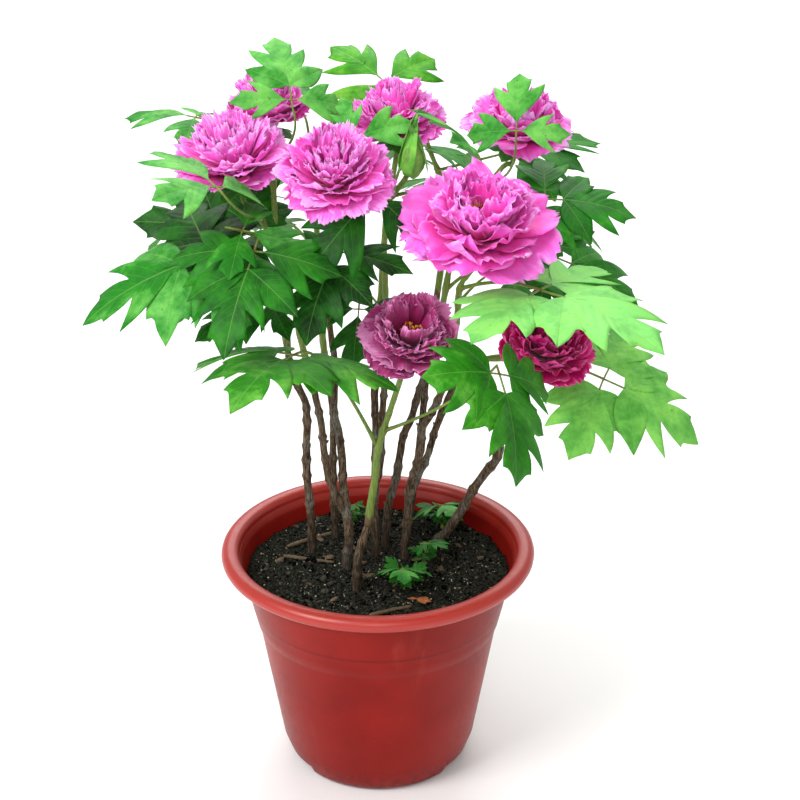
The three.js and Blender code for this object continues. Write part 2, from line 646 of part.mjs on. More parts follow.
// A leafy shoot: green stem from the cane's tip, its leaves, and the calyx or bud at its end
function shoot(spec) {
  const [caneName, index] = spec.cane;
  const canePoints = branchPoints(caneName, index);
  const tip = canePoints.at(-1);
  const direction = tip.clone().sub(canePoints.at(-2)).normalize();
  const start = tip.clone().addScaledVector(direction, FIT_GAP);
  const stem = [start, ...spec.stem.map(vector)];
  if (spec.bloom) {
    const frame = bloomFrame(BLOOMS[spec.bloom]);
    [-24, -CALYX_DROP].forEach((height) => stem.push(new THREE.Vector3(0, 0, height).applyMatrix4(frame)));
  }
  if (spec.bud) stem.push(vector(spec.bud));
  const pieces = [rod(stem, [CANES[caneName][index].radii[1] - 0.4, 2.6], STEM_SIDES, direction)];
  spec.leaves.forEach((leafSpec) => {
    pieces.push(leaf(pointAlong(stem, leafSpec.at), leafSpec));
  });
  if (spec.bloom) pieces.push(calyx(BLOOMS[spec.bloom]));
  if (spec.bud) pieces.push(...bud(spec.bud));
  return fused(pieces);
}

// The height of the soil's surface, mounded towards the stems
function soilHeight(x, y) {
  const radius = Math.hypot(x, y);
  const mound = SOIL_MOUND * (1 - (radius / COLLAR_RADIUS) ** 2);
  return SOIL_EDGE_HEIGHT + mound + 0.8 * Math.sin(x / 17) * Math.cos(y / 13);
}

function sproutFoot({ foot: [x, y] }, clearance) {
  const base = soilHeight(x, y);
  return rod([new THREE.Vector3(x, y, base - 22), new THREE.Vector3(x, y, base + 6)],
    [2.4 + clearance, 2.4 + clearance], STALK_SIDES + 1);
}

function sprout(spec) {
  const [x, y] = spec.foot;
  const base = soilHeight(x, y);
  const leafSpec = { ...spec, pitch: 20, roll: 0 };
  return fused([sproutFoot(spec, 0), leaf(new THREE.Vector3(x, y, base + 4), leafSpec)]);
}

function twig({ from, to, radius }, clearance) {
  const ends = [from, to].map(([x, y]) => new THREE.Vector3(x, y, soilHeight(x, y) + 0.7 * radius));
  return rod(ends, [radius + clearance, 0.7 * radius + clearance], STALK_SIDES + 2);
}

// A wedge of the foot ring, from an inner radius outwards
function footWedge(azimuth, halfAngle, innerRadius, height) {
  const outerRadius = FOOT_RADIUS + 20;
  const shape = new THREE.Shape();
  shape.absarc(0, 0, outerRadius, radians(azimuth - halfAngle), radians(azimuth + halfAngle), false);
  shape.absarc(0, 0, innerRadius, radians(azimuth + halfAngle), radians(azimuth - halfAngle), true);
  shape.closePath();
  const settings = { depth: height + 2, bevelEnabled: false, curveSegments: 2 };
  const geometry = new THREE.ExtrudeGeometry(shape, settings);
  return geometry.translate(0, 0, -2);
}

const notches = (growth) => NOTCH_AZIMUTHS.map((azimuth) => solidOf(footWedge(azimuth,
  NOTCH_HALF_ANGLE + growth * 0.7, NOTCH_INNER_RADIUS - growth, NOTCH_HEIGHT + growth)));

// The pot's inside, up to a height, drawn in from the wall by a clearance
function potInside(clearance, top) {
  const wall = POT_WALL + clearance;
  const slope = (COLLAR_RADIUS - COLLAR_FOOT_RADIUS) / (POT_HEIGHT - RIM_DEPTH - COLLAR_FOOT_HEIGHT);
  const topRadius = COLLAR_FOOT_RADIUS - wall + slope * (top - COLLAR_FOOT_HEIGHT);
  return [[0, POT_FLOOR + clearance], [BASE_RADIUS - wall, POT_FLOOR + clearance],
    [FOOT_RADIUS - wall, FOOT_HEIGHT], [STEP_RADIUS - wall, STEP_HEIGHT + 2],
    [COLLAR_FOOT_RADIUS - wall, COLLAR_FOOT_HEIGHT], [topRadius, top]];
}

function pot() {
  const rimBottom = POT_HEIGHT - RIM_DEPTH;
  const outside = solidOf(lathe([[0, 0], [BASE_RADIUS, 0], [BASE_CHAMFER_RADIUS, BASE_CHAMFER_HEIGHT],
    [FOOT_RADIUS, FOOT_HEIGHT], [STEP_RADIUS, STEP_HEIGHT], [COLLAR_FOOT_RADIUS, COLLAR_FOOT_HEIGHT],
    [COLLAR_RADIUS, rimBottom], [RIM_RADIUS - 6, rimBottom], [RIM_RADIUS, rimBottom + 6],
    [RIM_RADIUS - 1, POT_HEIGHT - 5], [RIM_RADIUS - 6, POT_HEIGHT], [RIM_INNER_RADIUS + 5, POT_HEIGHT],
    [RIM_INNER_RADIUS, POT_HEIGHT - 4], [RIM_INNER_RADIUS - 1, POT_HEIGHT - 9], [0, POT_HEIGHT - 9]],
  POT_SIDES));
  const inside = solidOf(lathe([...potInside(0, POT_HEIGHT - 10), [RIM_INNER_RADIUS - 1.2, POT_HEIGHT - 8],
    [0, POT_HEIGHT - 8]], POT_SIDES));
  const drains = DRAIN_AZIMUTHS.map((azimuth) => {
    const drain = lathe([[0, -1], [DRAIN_RADIUS, -1], [DRAIN_RADIUS, POT_FLOOR + 1], [0, POT_FLOOR + 1]], 8);
    return solidOf(drain.translate(DRAIN_RING_RADIUS * Math.cos(radians(azimuth)),
      DRAIN_RING_RADIUS * Math.sin(radians(azimuth)), 0));
  });
  const cavity = notches(POT_WALL).reduce((solid, notch) => solid.subtract(notch), inside);
  const body = [...notches(0), ...drains].reduce((solid, cutter) => solid.subtract(cutter), outside);
  return body.subtract(cavity);
}

// Soil that fills the pot, with plain holes where stems stand in it and beds under the twigs
function soil() {
  const profile = potInside(FIT_GAP, SOIL_EDGE_HEIGHT);
  const rings = [0.55];
  const edge = profile.at(-1)[0];
  const geometry = lathe([...profile, ...rings.map((share) => [edge * share, SOIL_EDGE_HEIGHT + 1]),
    [0, SOIL_EDGE_HEIGHT + 1]], POT_SIDES);
  const position = geometry.attributes.position;
  for (let i = 0; i < position.count; i += 1) {
    const [x, y, z] = [position.getX(i), position.getY(i), position.getZ(i)];
    if (z > SOIL_EDGE_HEIGHT + 0.5) position.setZ(i, soilHeight(x, y));
  }
  const cutters = [
    ...notches(POT_WALL + FIT_GAP),
    ...Object.keys(CANES).map((name) => {
      const [foot, top] = branchPoints(name, 0);
      const radius = CANES[name][0].radii[0] + HOLE_CLEARANCE;
      return solidOf(rod([foot.clone().setZ(foot.z - FIT_GAP), top], [radius, radius], CANE_SIDES));
    }),
    ...Object.values(SPROUTS).map((spec) => solidOf(sproutFoot(spec, HOLE_CLEARANCE).translate(0, 0, -1))),
    ...Object.values(TWIGS).map((spec) => solidOf(twig(spec, FIT_GAP))),
  ];
  return cutters.reduce((solid, cutter) => solid.subtract(cutter), solidOf(geometry));
}

// Adds a solid to the plant as a named mesh
const plant = new THREE.Group();
function addPart(name, solid, colour, roughness) {
  const material = new THREE.MeshStandardMaterial({ color: COLOURS[colour], roughness, metalness: 0 });
  const mesh = new THREE.Mesh(geometryOf(solid), material);
  mesh.name = name;
  plant.add(mesh);
}

addPart('pot', pot(), 'pot', 0.5);
addPart('soil', soil(), 'soil', 0.95);
Object.keys(CANES).forEach((name) => addPart(name, cane(name), 'cane', 0.85));
Object.entries(SHOOTS).forEach(([name, spec]) => addPart(name, shoot(spec), 'leaf', 0.55));
Object.entries(BLOOMS).forEach(([name, spec]) => {
  addPart(name, bloom(spec), spec.colour ?? 'petal', 0.6);
  addPart(name.replace('bloom', 'stamens'), stamens(spec), 'stamen', 0.7);
});
Object.entries(SPROUTS).forEach(([name, spec]) => addPart(name, sprout(spec), 'sprout', 0.6));
Object.entries(TWIGS).forEach(([name, spec]) => addPart(name, solidOf(twig(spec, 0)), 'twig', 0.9));

export default plant;
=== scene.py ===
"""Looks of a tree peony in flower in its round plastic pot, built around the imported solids.

Metres, +Z up, -Y to the front. The plant's own sizes are written in millimetres.
"""
import sys

import logging
import math
from dataclasses import dataclass
from enum import Enum

import bpy
import numpy as np
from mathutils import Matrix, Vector


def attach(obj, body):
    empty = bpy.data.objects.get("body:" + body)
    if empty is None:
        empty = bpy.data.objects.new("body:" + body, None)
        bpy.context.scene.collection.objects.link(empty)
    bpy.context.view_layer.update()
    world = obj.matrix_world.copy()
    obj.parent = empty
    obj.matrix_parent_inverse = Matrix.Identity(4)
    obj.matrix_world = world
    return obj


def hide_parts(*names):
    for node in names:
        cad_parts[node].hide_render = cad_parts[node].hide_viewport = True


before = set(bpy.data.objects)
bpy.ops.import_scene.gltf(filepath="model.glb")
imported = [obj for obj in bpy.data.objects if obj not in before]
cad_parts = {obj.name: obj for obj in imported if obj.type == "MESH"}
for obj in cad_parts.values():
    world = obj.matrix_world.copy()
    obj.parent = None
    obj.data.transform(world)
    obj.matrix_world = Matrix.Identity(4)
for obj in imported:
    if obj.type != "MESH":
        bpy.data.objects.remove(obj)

LOG = logging.getLogger("peony")
MM = 0.001
FULL_TURN = 2 * math.pi
Array = np.ndarray
Rng = np.random.Generator
Thing = bpy.types.Object
Material = bpy.types.Material
Socket = bpy.types.NodeSocket
Point = tuple[float, float, float]
Colour = tuple[float, float, float]


class Seed(Enum):
    """Where each kind of piece starts its random draws, to which its own number is added."""

    PETALS = 100
    STAMENS = 200
    SHOOT = 300
    CANE = 400
    SOIL = 500
    SPROUT = 600
    TWIG = 700

    def draws(self, number: int = 0) -> Rng:
        """The random draws of one piece."""
        return np.random.default_rng(self.value + number)


def phase(rng: Rng) -> float:
    """A random phase of a wave."""
    return rng.uniform(0, 6.3)


def srgb(red: int, green: int, blue: int) -> Colour:
    """A screen colour of 0 to 255 as a linear colour."""
    def linear(value: int) -> float:
        """One channel, made linear."""
        share = value / 255
        return share / 12.92 if share <= 0.04045 else ((share + 0.055) / 1.055) ** 2.4
    return linear(red), linear(green), linear(blue)


def unit(vector: Array) -> Array:
    """The vector at length one."""
    return vector / max(float(np.linalg.norm(vector)), 1e-9)


def ripple(points: Array, wavelength: float, rng: Rng, waves: int = 8) -> Array:
    """A smooth irregular wave over points, from about -1 to 1.

    Args:
        points: Places in millimetres, one a row.
        wavelength: About how far apart its crests are, in millimetres.
        rng: Where the directions and phases are drawn from.
        waves: How many plain waves it is made of.

    Returns:
        One value a point.
    """
    total = np.zeros(len(points))
    for _ in range(waves):
        direction = unit(rng.normal(size=3)) * rng.uniform(0.6, 1.5) * FULL_TURN / wavelength
        total += np.sin(points @ direction + rng.uniform(0, FULL_TURN))
    return total / math.sqrt(waves)


def turned_frame(place: Point, yaw: float, pitch: float, roll: float) -> Array:
    """The 4x4 frame of a leaf: +X forward, +Y to its left and +Z out of its upper face."""
    a, b, c = (math.radians(angle) for angle in (yaw, -pitch, roll))
    turn_z = np.array([[math.cos(a), -math.sin(a), 0], [math.sin(a), math.cos(a), 0], [0, 0, 1]])
    turn_y = np.array([[math.cos(b), 0, math.sin(b)], [0, 1, 0], [-math.sin(b), 0, math.cos(b)]])
    turn_x = np.array([[1, 0, 0], [0, math.cos(c), -math.sin(c)], [0, math.sin(c), math.cos(c)]])
    whole = np.eye(4)
    whole[:3, :3] = turn_z @ turn_y @ turn_x
    whole[:3, 3] = place
    return whole


def placed(matrix: Array, points: Array) -> Array:
    """Points taken from a frame of their own into the row frame."""
    return points @ matrix[:3, :3].T + matrix[:3, 3]


def smooth_path(points: list[Point] | Array, spacing: float) -> Array:
    """A smooth curve through points, with a point about every spacing.

    Args:
        points: The points that it goes through.
        spacing: The distance between its own points, in millimetres.

    Returns:
        The curve's points, one a row.
    """
    given = np.asarray(points, float)
    ends = np.vstack([2 * given[0] - given[1], given, 2 * given[-1] - given[-2]])
    path = [given[0]]
    for i in range(1, len(ends) - 2):
        p0, p1, p2, p3 = ends[i - 1:i + 3]
        steps = max(2, round(float(np.linalg.norm(p2 - p1)) / spacing))
        for t in np.linspace(0, 1, steps + 1)[1:]:
            path.append(0.5 * (2 * p1 + (p2 - p0) * t + (2 * p0 - 5 * p1 + 4 * p2 - p3) * t ** 2
                               + (3 * p1 - p0 - 3 * p2 + p3) * t ** 3))
    return np.array(path)


def lengths_along(path: Array) -> Array:
    """How far along the path each of its points is."""
    return np.concatenate([[0], np.cumsum(np.linalg.norm(np.diff(path, axis=0), axis=1))])


def angles_round(count: int) -> Array:
    """Evenly spaced angles of one full turn."""
    return np.linspace(0, FULL_TURN, count, endpoint=False)


def point_at(points: list[Point], share: float) -> Array:
    """The point at a share of the way along straight stretches between points."""
    given = np.asarray(points, float)
    along = lengths_along(given)
    reach = min(share, 0.999) * along[-1]
    return np.array([np.interp(reach, along, given[:, axis]) for axis in range(3)])


def deselect() -> None:
    """Leaves nothing selected."""
    if bpy.context.object and bpy.context.object.mode != "OBJECT":
        bpy.ops.object.mode_set(mode="OBJECT")
    bpy.ops.object.select_all(action="DESELECT")


def activate(obj: Thing) -> Thing:
    """Leaves only this object selected, and active."""
    deselect()
    obj.select_set(True)
    bpy.context.view_layer.objects.active = obj
    return obj


def linked(name: str, data: bpy.types.ID) -> Thing:
    """A new object with this data, linked to the scene."""
    obj = bpy.data.objects.new(name, data)
    bpy.context.scene.collection.objects.link(obj)
    return obj


def join(name: str, objects: list[Thing]) -> Thing:
    """Joins objects into the first one and names it."""
    activate(objects[0])
    for obj in objects[1:]:
        obj.select_set(True)
    if len(objects) > 1:
        bpy.ops.object.join()
    joined = bpy.context.object
    joined.name = name
    joined.data.name = name
    return joined


def apply_modifier(obj: Thing, kind: str, **settings: object) -> None:
    """Adds a modifier with these settings and applies it."""
    activate(obj)
    bpy.ops.object.modifier_add(type=kind)
    modifier = obj.modifiers[-1]
    for key, value in settings.items():
        setattr(modifier, key, value)
    bpy.ops.object.modifier_apply(modifier=modifier.name)


def finish_piece(obj: Thing, slot: str, *nodes: str) -> Thing:
    """Rides a piece on the plant's one body and hides the CAD nodes that it stands for.

    Args:
        obj: The finished piece.
        slot: A material slot's name; not used.
        nodes: The CAD nodes that it stands for, if any.

    Returns:
        The same piece.
    """
    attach(obj, "root")
    if nodes:
        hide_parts(*nodes)
    LOG.info("%s: %d faces", obj.name, len(obj.data.polygons))
    return obj


class MeshBuffer:
    """Gathers the sheets, tubes and crumbs of one piece, in millimetres, into one mesh."""

    def __init__(self) -> None:
        """Starts empty."""
        self.points: list[Array] = []
        self.quads: list[Array] = []
        self.tris: list[Array] = []
        self.uvs: list[Array] = []
        self.tones: list[Array] = []
        self.warmths: list[Array] = []
        self.warmth = 0.0
        self.count = 0

    def add(self, points: Array, quads: Array, tris: Array, uvs: Array, tone: float | Array) -> None:
        """Adds loose geometry.

        Args:
            points: Its points, one a row.
            quads: Four point numbers a row.
            tris: Three point numbers a row.
            uvs: A pattern coordinate a point.
            tone: A shade from 0 to 1, of all of it or of each point.
        """
        self.points.append(points)
        self.quads.append(quads.reshape(-1, 4) + self.count)
        self.tris.append(tris.reshape(-1, 3) + self.count)
        self.uvs.append(uvs)
        self.tones.append(np.broadcast_to(np.asarray(tone, float), (len(points),)))
        self.warmths.append(np.full(len(points), self.warmth))
        self.count += len(points)

    def add_sheet(self, grid: Array, uv: Array, tone: float | Array) -> None:
        """Adds an open sheet given as rows and columns of points, whose rows go forward."""
        rows, columns = grid.shape[:2]
        number = np.arange(rows * columns).reshape(rows, columns)
        quads = np.stack([number[:-1, :-1], number[1:, :-1], number[1:, 1:], number[:-1, 1:]], -1)
        self.add(grid.reshape(-1, 3), quads, np.zeros((0, 3), int), uv.reshape(-1, 2), tone)

    def add_tube(self, path: Array, radii: Array, sides: int, tone: float | Array,
                 relief: Array | None = None) -> None:
        """Adds a closed round tube along a path.

        Args:
            path: The points of its middle line.
            radii: Its radius at each of them.
            sides: How many sides it has.
            tone: Its shade, of all of it or of each point of the path.
            relief: How far each point of each ring stands out, in millimetres.
        """
        tangents = np.gradient(path, axis=0)
        side = np.cross(tangents[0], [0.0, 1.0, 0.0])
        if np.linalg.norm(side) < 0.2 * np.linalg.norm(tangents[0]):
            side = np.cross(tangents[0], [1.0, 0.0, 0.0])
        angles = angles_round(sides)
        rings = []
        for i, tangent in enumerate(tangents):
            forward = unit(tangent)
            side = unit(side - forward * (side @ forward))
            other = np.cross(forward, side)
            reach = radii[i] + (relief[i] if relief is not None else 0)
            rings.append(path[i] + np.outer(reach * np.cos(angles), side)
                         + np.outer(reach * np.sin(angles), other))
        count = len(path)
        points = np.vstack([*rings, path[0][None], path[-1][None]])
        number = np.arange(count * sides).reshape(count, sides)
        after = np.roll(number, -1, axis=1)
        quads = np.stack([number[:-1], after[:-1], after[1:], number[1:]], -1)
        first = np.full(sides, count * sides)
        tris = np.vstack([np.stack([first, after[0], number[0]], -1),
                          np.stack([first + 1, number[-1], after[-1]], -1)])
        along = lengths_along(path)
        uvs = np.stack(np.meshgrid(np.linspace(0, 1, sides), along), -1).reshape(-1, 2)
        uvs = np.vstack([uvs, [0.5, 0], [0.5, along[-1]]])
        tones = np.broadcast_to(np.asarray(tone, float), (count,))
        self.add(points, quads, tris, uvs, np.concatenate([np.repeat(tones, sides), tones[[0, -1]]]))

    def build(self, name: str, materials: list[Material], thickness: float = 0) -> Thing:
        """Makes the mesh object.

        Args:
            name: The object's name.
            materials: Its materials: the upper face's, and the under face's where it has one.
            thickness: How thick its sheets become, in millimetres; 0 leaves closed shapes alone.

        Returns:
            The new object, at the origin.
        """
        mesh = bpy.data.meshes.new(name)
        quads, tris = np.vstack(self.quads), np.vstack(self.tris)
        corners = np.concatenate([quads.ravel(), tris.ravel()]).astype(np.int32)
        starts = np.concatenate([np.arange(len(quads)) * 4, 4 * len(quads) + np.arange(len(tris)) * 3])
        mesh.vertices.add(self.count)
        mesh.vertices.foreach_set("co", (np.vstack(self.points) * MM).astype(np.float32).ravel())
        mesh.loops.add(len(corners))
        mesh.loops.foreach_set("vertex_index", corners)
        mesh.polygons.add(len(starts))
        mesh.polygons.foreach_set("loop_start", starts.astype(np.int32))
        mesh.polygons.foreach_set("use_smooth", np.ones(len(starts), bool))
        mesh.update(calc_edges=True)
        layer = mesh.uv_layers.new(name="UVMap")
        layer.data.foreach_set("uv", np.vstack(self.uvs)[corners].astype(np.float32).ravel())
        for label, values in (("tone", self.tones), ("warmth", self.warmths)):
            layer = mesh.attributes.new(label, "FLOAT", "POINT")
            layer.data.foreach_set("value", np.concatenate(values).astype(np.float32))
        for material in materials:
            mesh.materials.append(material)
        obj = linked(name, mesh)
        if thickness:
            apply_modifier(obj, "SOLIDIFY", thickness=thickness * MM, offset=0,
                           material_offset=1 if len(materials) > 1 else 0)
        return obj


class NodeSheet:
    """Lays out the nodes of one procedural material."""

    def __init__(self, name: str, roughness: float, **constants: object) -> None:
        """Makes a material with one plain shader.

        Args:
            name: The material's name.
            roughness: The shader's roughness where nothing is linked to it.
            constants: Other sockets of the shader, with _ for each space.
        """
        self.material = bpy.data.materials.new(name)
        self.material.use_nodes = True
        self.tree = self.material.node_tree
        self.shader = self.tree.nodes["Principled BSDF"]
        self.shader.inputs["Roughness"].default_value = roughness
        for key, value in constants.items():
            self.shader.inputs[key.replace("_", " ")].default_value = value

    def node(self, kind: str, inputs: dict[str | int, object], output: str | int = 0,
             **settings: object) -> Socket:
        """Adds a node.

        Args:
            kind: Its type.
            inputs: What each of its inputs is linked or set to.
            output: Which of its outputs is wanted.
            settings: Its other settings.

        Returns:
            That output.
        """
        node = self.tree.nodes.new(kind)
        for key, value in settings.items():
            setattr(node, key, value)
        for key, value in inputs.items():
            self.put(node.inputs[key], value)
        return node.outputs[output]

    def put(self, socket: Socket, value: object) -> None:
        """Links a socket to another, or sets its value."""
        if isinstance(value, Socket):
            self.tree.links.new(value, socket)
        elif isinstance(value, tuple) and len(value) == 3 and socket.type == "RGBA":
            socket.default_value = (*value, 1)
        else:
            socket.default_value = value

    def coordinates(self, kind: str = "Object") -> Socket:
        """The place on the object in metres, or with UV the piece's own pattern coordinates."""
        return self.node("ShaderNodeTexCoord", {}, kind)

    def place(self, stretch: Point = (1, 1, 1), kind: str = "Object") -> Socket:
        """Coordinates of one kind, stretched along each axis."""
        return self.node("ShaderNodeMapping", {"Vector": self.coordinates(kind), "Scale": stretch})

    def axes(self, vector: Socket) -> list[Socket]:
        """The three parts of a vector."""
        return list(self.node("ShaderNodeSeparateXYZ", {0: vector}).node.outputs)

    def own(self, name: str) -> Socket:
        """A value that the piece brings along, its tone or its warmth, from 0 to 1."""
        return self.node("ShaderNodeAttribute", {}, "Fac", attribute_name=name)

    def noise(self, vector: Socket, scale: float, detail: float = 4, roughness: float = 0.55) -> Socket:
        """Cloudy noise, from 0 to 1."""
        return self.node("ShaderNodeTexNoise", {"Vector": vector, "Scale": scale, "Detail": detail,
                                                "Roughness": roughness}, "Fac")

    def cells(self, vector: Socket, scale: float, feature: str = "F1") -> Socket:
        """Distance in a pattern of irregular cells."""
        return self.node("ShaderNodeTexVoronoi", {"Vector": vector, "Scale": scale}, "Distance",
                         feature=feature)

    def math(self, operation: str, *values: object) -> Socket:
        """The result of one sum on sockets or numbers."""
        return self.node("ShaderNodeMath", dict(enumerate(values)), operation=operation)

    def band(self, value: Socket, low: float, high: float, start: float = 0, end: float = 1) -> Socket:
        """Goes smoothly from start to end as the value goes from low to high, and stays there."""
        return self.node("ShaderNodeMapRange", {"Value": value, "From Min": low, "From Max": high,
                                                "To Min": start, "To Max": end}, "Result",
                         interpolation_type="SMOOTHSTEP")

    def sway(self, shade: Socket, value: Socket, low: float, high: float, start: float, end: float) -> Socket:
        """A shade, raised by start to end as the value goes from low to high."""
        return self.math("ADD", shade, self.band(value, low, high, start, end))

    def by_tone(self, shade: Socket) -> Socket:
        """A shade, raised or lowered by the piece's own tone."""
        change = self.math("MULTIPLY", self.math("SUBTRACT", self.own("tone"), 0.5), 0.5)
        return self.math("ADD", shade, change)

    def off_middle(self, value: Socket) -> Socket:
        """How far a value is from a half."""
        return self.math("ABSOLUTE", self.math("SUBTRACT", value, 0.5))

    def ramp(self, factor: Socket, shares: tuple[float, ...], colours: tuple[Colour, ...]) -> Socket:
        """A colour that runs through others, reached at these shares of the factor."""
        colour_out = self.node("ShaderNodeValToRGB", {"Fac": factor}, "Color")
        elements = colour_out.node.color_ramp.elements
        while len(elements) < len(shares):
            elements.new(0.5)
        for element, share, colour in zip(elements, shares, colours):
            element.position = share
            element.color = (*colour, 1)
        return colour_out

    def mix(self, factor: object, first: object, second: object) -> Socket:
        """A colour between two others."""
        return self.node("ShaderNodeMix", {0: factor, 6: first, 7: second}, 2, data_type="RGBA")

    def layered(self, colour: object, *layers: tuple) -> Socket:
        """A colour under others.

        Args:
            colour: The lowest colour.
            layers: For each layer its colour, a value, the two values between which it comes in, and the
                greatest share that it covers.

        Returns:
            The colour that shows.
        """
        for other, value, low, high, share in layers:
            colour = self.mix(self.band(value, low, high, 0, share), colour, other)
        return colour

    def finish(self, colour: Socket, height: Socket | None = None, strength: float = 0.3,
               distance: float = 0.5, roughness: Socket | None = None) -> Material:
        """Links what the shader shows.

        Args:
            colour: Its colour.
            height: The relief of its surface, if any.
            strength: How strongly the relief shows.
            distance: The relief's depth in millimetres.
            roughness: Its roughness, if that varies.

        Returns:
            The finished material.
        """
        self.put(self.shader.inputs["Base Color"], colour)
        if height is not None:
            bump = self.node("ShaderNodeBump", {"Strength": strength, "Distance": distance * MM,
                                                "Height": height}, "Normal")
            self.put(self.shader.inputs["Normal"], bump)
        if roughness is not None:
            self.put(self.shader.inputs["Roughness"], roughness)
        return self.material


@dataclass(frozen=True)
class LeafFinish:
    """Living leaf: faint veins, cooler or yellower and lighter or darker from leaf to leaf, the darker leaves
    partly painted shade.
    """

    name: str
    cool: tuple[Colour, ...] = (srgb(8, 50, 8), srgb(26, 124, 24), srgb(120, 210, 108))
    warm: tuple[Colour, ...] = (srgb(26, 78, 4), srgb(62, 148, 16), srgb(148, 214, 74))
    marks: tuple[float, ...] = (0, 0.5, 1)
    spot: Colour = srgb(70, 62, 24)
    vein: Colour = srgb(140, 196, 100)
    down: Colour = srgb(128, 176, 112)
    roughness: float = 0.45
    veins_a_side: int = 10
    under: bool = False

    def build(self) -> Material:
        """Makes the material."""
        sheet = NodeSheet(self.name, self.roughness, Specular_IOR_Level=0.16)
        place = sheet.place()
        patches, mottle = sheet.noise(place, 34, 3), sheet.noise(place, 150, 4, 0.6)
        u, v, _ = sheet.axes(sheet.coordinates("UV"))
        across = sheet.off_middle(v)
        shade = sheet.sway(sheet.own("tone"), patches, 0.3, 0.7, -0.12, 0.12)
        shade = sheet.sway(shade, mottle, 0.3, 0.7, -0.06, 0.06)
        shade = sheet.sway(shade, across, 0, 0.45, -0.03, 0.06)
        warmth = sheet.sway(sheet.own("warmth"), patches, 0.35, 0.7, -0.1, 0.15)
        colour = sheet.mix(warmth, sheet.ramp(shade, self.marks, self.cool),
                           sheet.ramp(shade, self.marks, self.warm))
        beat = sheet.math("FRACT", sheet.math("ADD", sheet.math("MULTIPLY", u, self.veins_a_side), 0.5))
        side_veins = sheet.math("MULTIPLY", sheet.band(sheet.off_middle(beat), 0, 0.07, 1, 0),
                                sheet.band(across, 0.05, 0.46, 0.55, 0.1))
        veins = sheet.math("MAXIMUM", sheet.band(across, 0.003, 0.014, 1, 0), side_veins)
        spots = sheet.math("MULTIPLY", sheet.band(sheet.cells(place, 130), 0.13, 0.08),
                           sheet.band(patches, 0.55, 0.62, 0, 0.7))
        colour = sheet.mix(sheet.math("MULTIPLY", veins, 0.26), colour, self.vein)
        colour = sheet.mix(spots, colour, self.spot)
        if self.under:
            colour = sheet.mix(0.4, colour, self.down)
        net = sheet.cells(place, 520, "DISTANCE_TO_EDGE")
        height = sheet.math("SUBTRACT", sheet.band(net, 0, 0.12, 0, 0.2), veins)
        return sheet.finish(colour, height, 0.55, 0.5)


@dataclass(frozen=True)
class PetalFinish:
    """Soft petal: deep at its foot, pale and satiny at its edge, with fine streaks along it."""

    name: str
    shades: tuple[Colour, ...]
    marks: tuple[float, ...] = (0.05, 0.42, 0.86, 1)
    glow: Point = (1, 0.3, 0.7)

    def build(self) -> Material:
        """Makes the material."""
        sheet = NodeSheet(self.name, 0.48, Specular_IOR_Level=0.3, Sheen_Weight=0.15, Sheen_Roughness=0.4,
                          Subsurface_Weight=0.6, Subsurface_Scale=0.0006, Subsurface_Radius=self.glow)
        across, along, _ = sheet.axes(sheet.coordinates("UV"))
        streaks = sheet.noise(sheet.place((24, 1.4, 1), "UV"), 1, 3)
        cloud = sheet.noise(sheet.place(), 70, 3)
        shade = sheet.sway(along, streaks, 0.3, 0.7, -0.09, 0.07)
        shade = sheet.sway(shade, cloud, 0.3, 0.7, -0.14, 0.06)
        shade = sheet.sway(shade, sheet.off_middle(across), 0.35, 0.5, 0, 0.1)
        colour = sheet.ramp(sheet.by_tone(shade), self.marks, self.shades)
        return sheet.finish(colour, streaks, 0.3, 0.5)


@dataclass(frozen=True)
class BarkFinish:
    """Rough bark with lengthwise cracks, grey patches, pale specks, a green tinge where it is young, and
    darker towards the soil.
    """

    name: str
    dark: Colour = srgb(28, 23, 18)
    brown: Colour = srgb(78, 60, 46)
    pale: Colour = srgb(132, 114, 94)
    ash: Colour = srgb(64, 60, 54)
    grey: Colour = srgb(134, 132, 122)
    moss: Colour = srgb(66, 68, 38)
    young: Colour = srgb(100, 96, 50)
    # Heights in metres over which the bark darkens towards the soil.
    darker_below: float = 0.3
    darkest_at: float = 0.235

    def build(self) -> Material:
        """Makes the material."""
        sheet = NodeSheet(self.name, 0.85, Specular_IOR_Level=0.15)
        cracks = sheet.noise(sheet.place((1, 1, 0.14)), 620, 5, 0.65)
        patches = sheet.noise(sheet.place((1, 1, 0.6)), 42, 5, 0.6)
        blotches = sheet.noise(sheet.place((1, 1, 0.6)), 130, 3)
        flakes = sheet.cells(sheet.place((1, 1, 0.35)), 300)
        specks = sheet.cells(sheet.place(), 420)
        level = sheet.axes(sheet.coordinates())[2]
        colour = sheet.layered(
            sheet.ramp(cracks, (0.32, 0.46, 0.68), (self.dark, self.brown, self.pale)),
            (sheet.ramp(cracks, (0.34, 0.6), (self.ash, self.grey)), patches, 0.48, 0.64, 0.7),
            (self.dark, blotches, 0.56, 0.68, 0.5), (self.moss, blotches, 0.42, 0.32, 0.35),
            (self.pale, specks, 0.2, 0.1, 0.5), (self.young, sheet.own("tone"), 0.5, 1, 0.6),
            (self.dark, level, self.darker_below, self.darkest_at, 0.6))
        height = sheet.math("ADD", cracks, sheet.math("MULTIPLY", flakes, 0.6))
        return sheet.finish(colour, height, 0.75, 0.9)


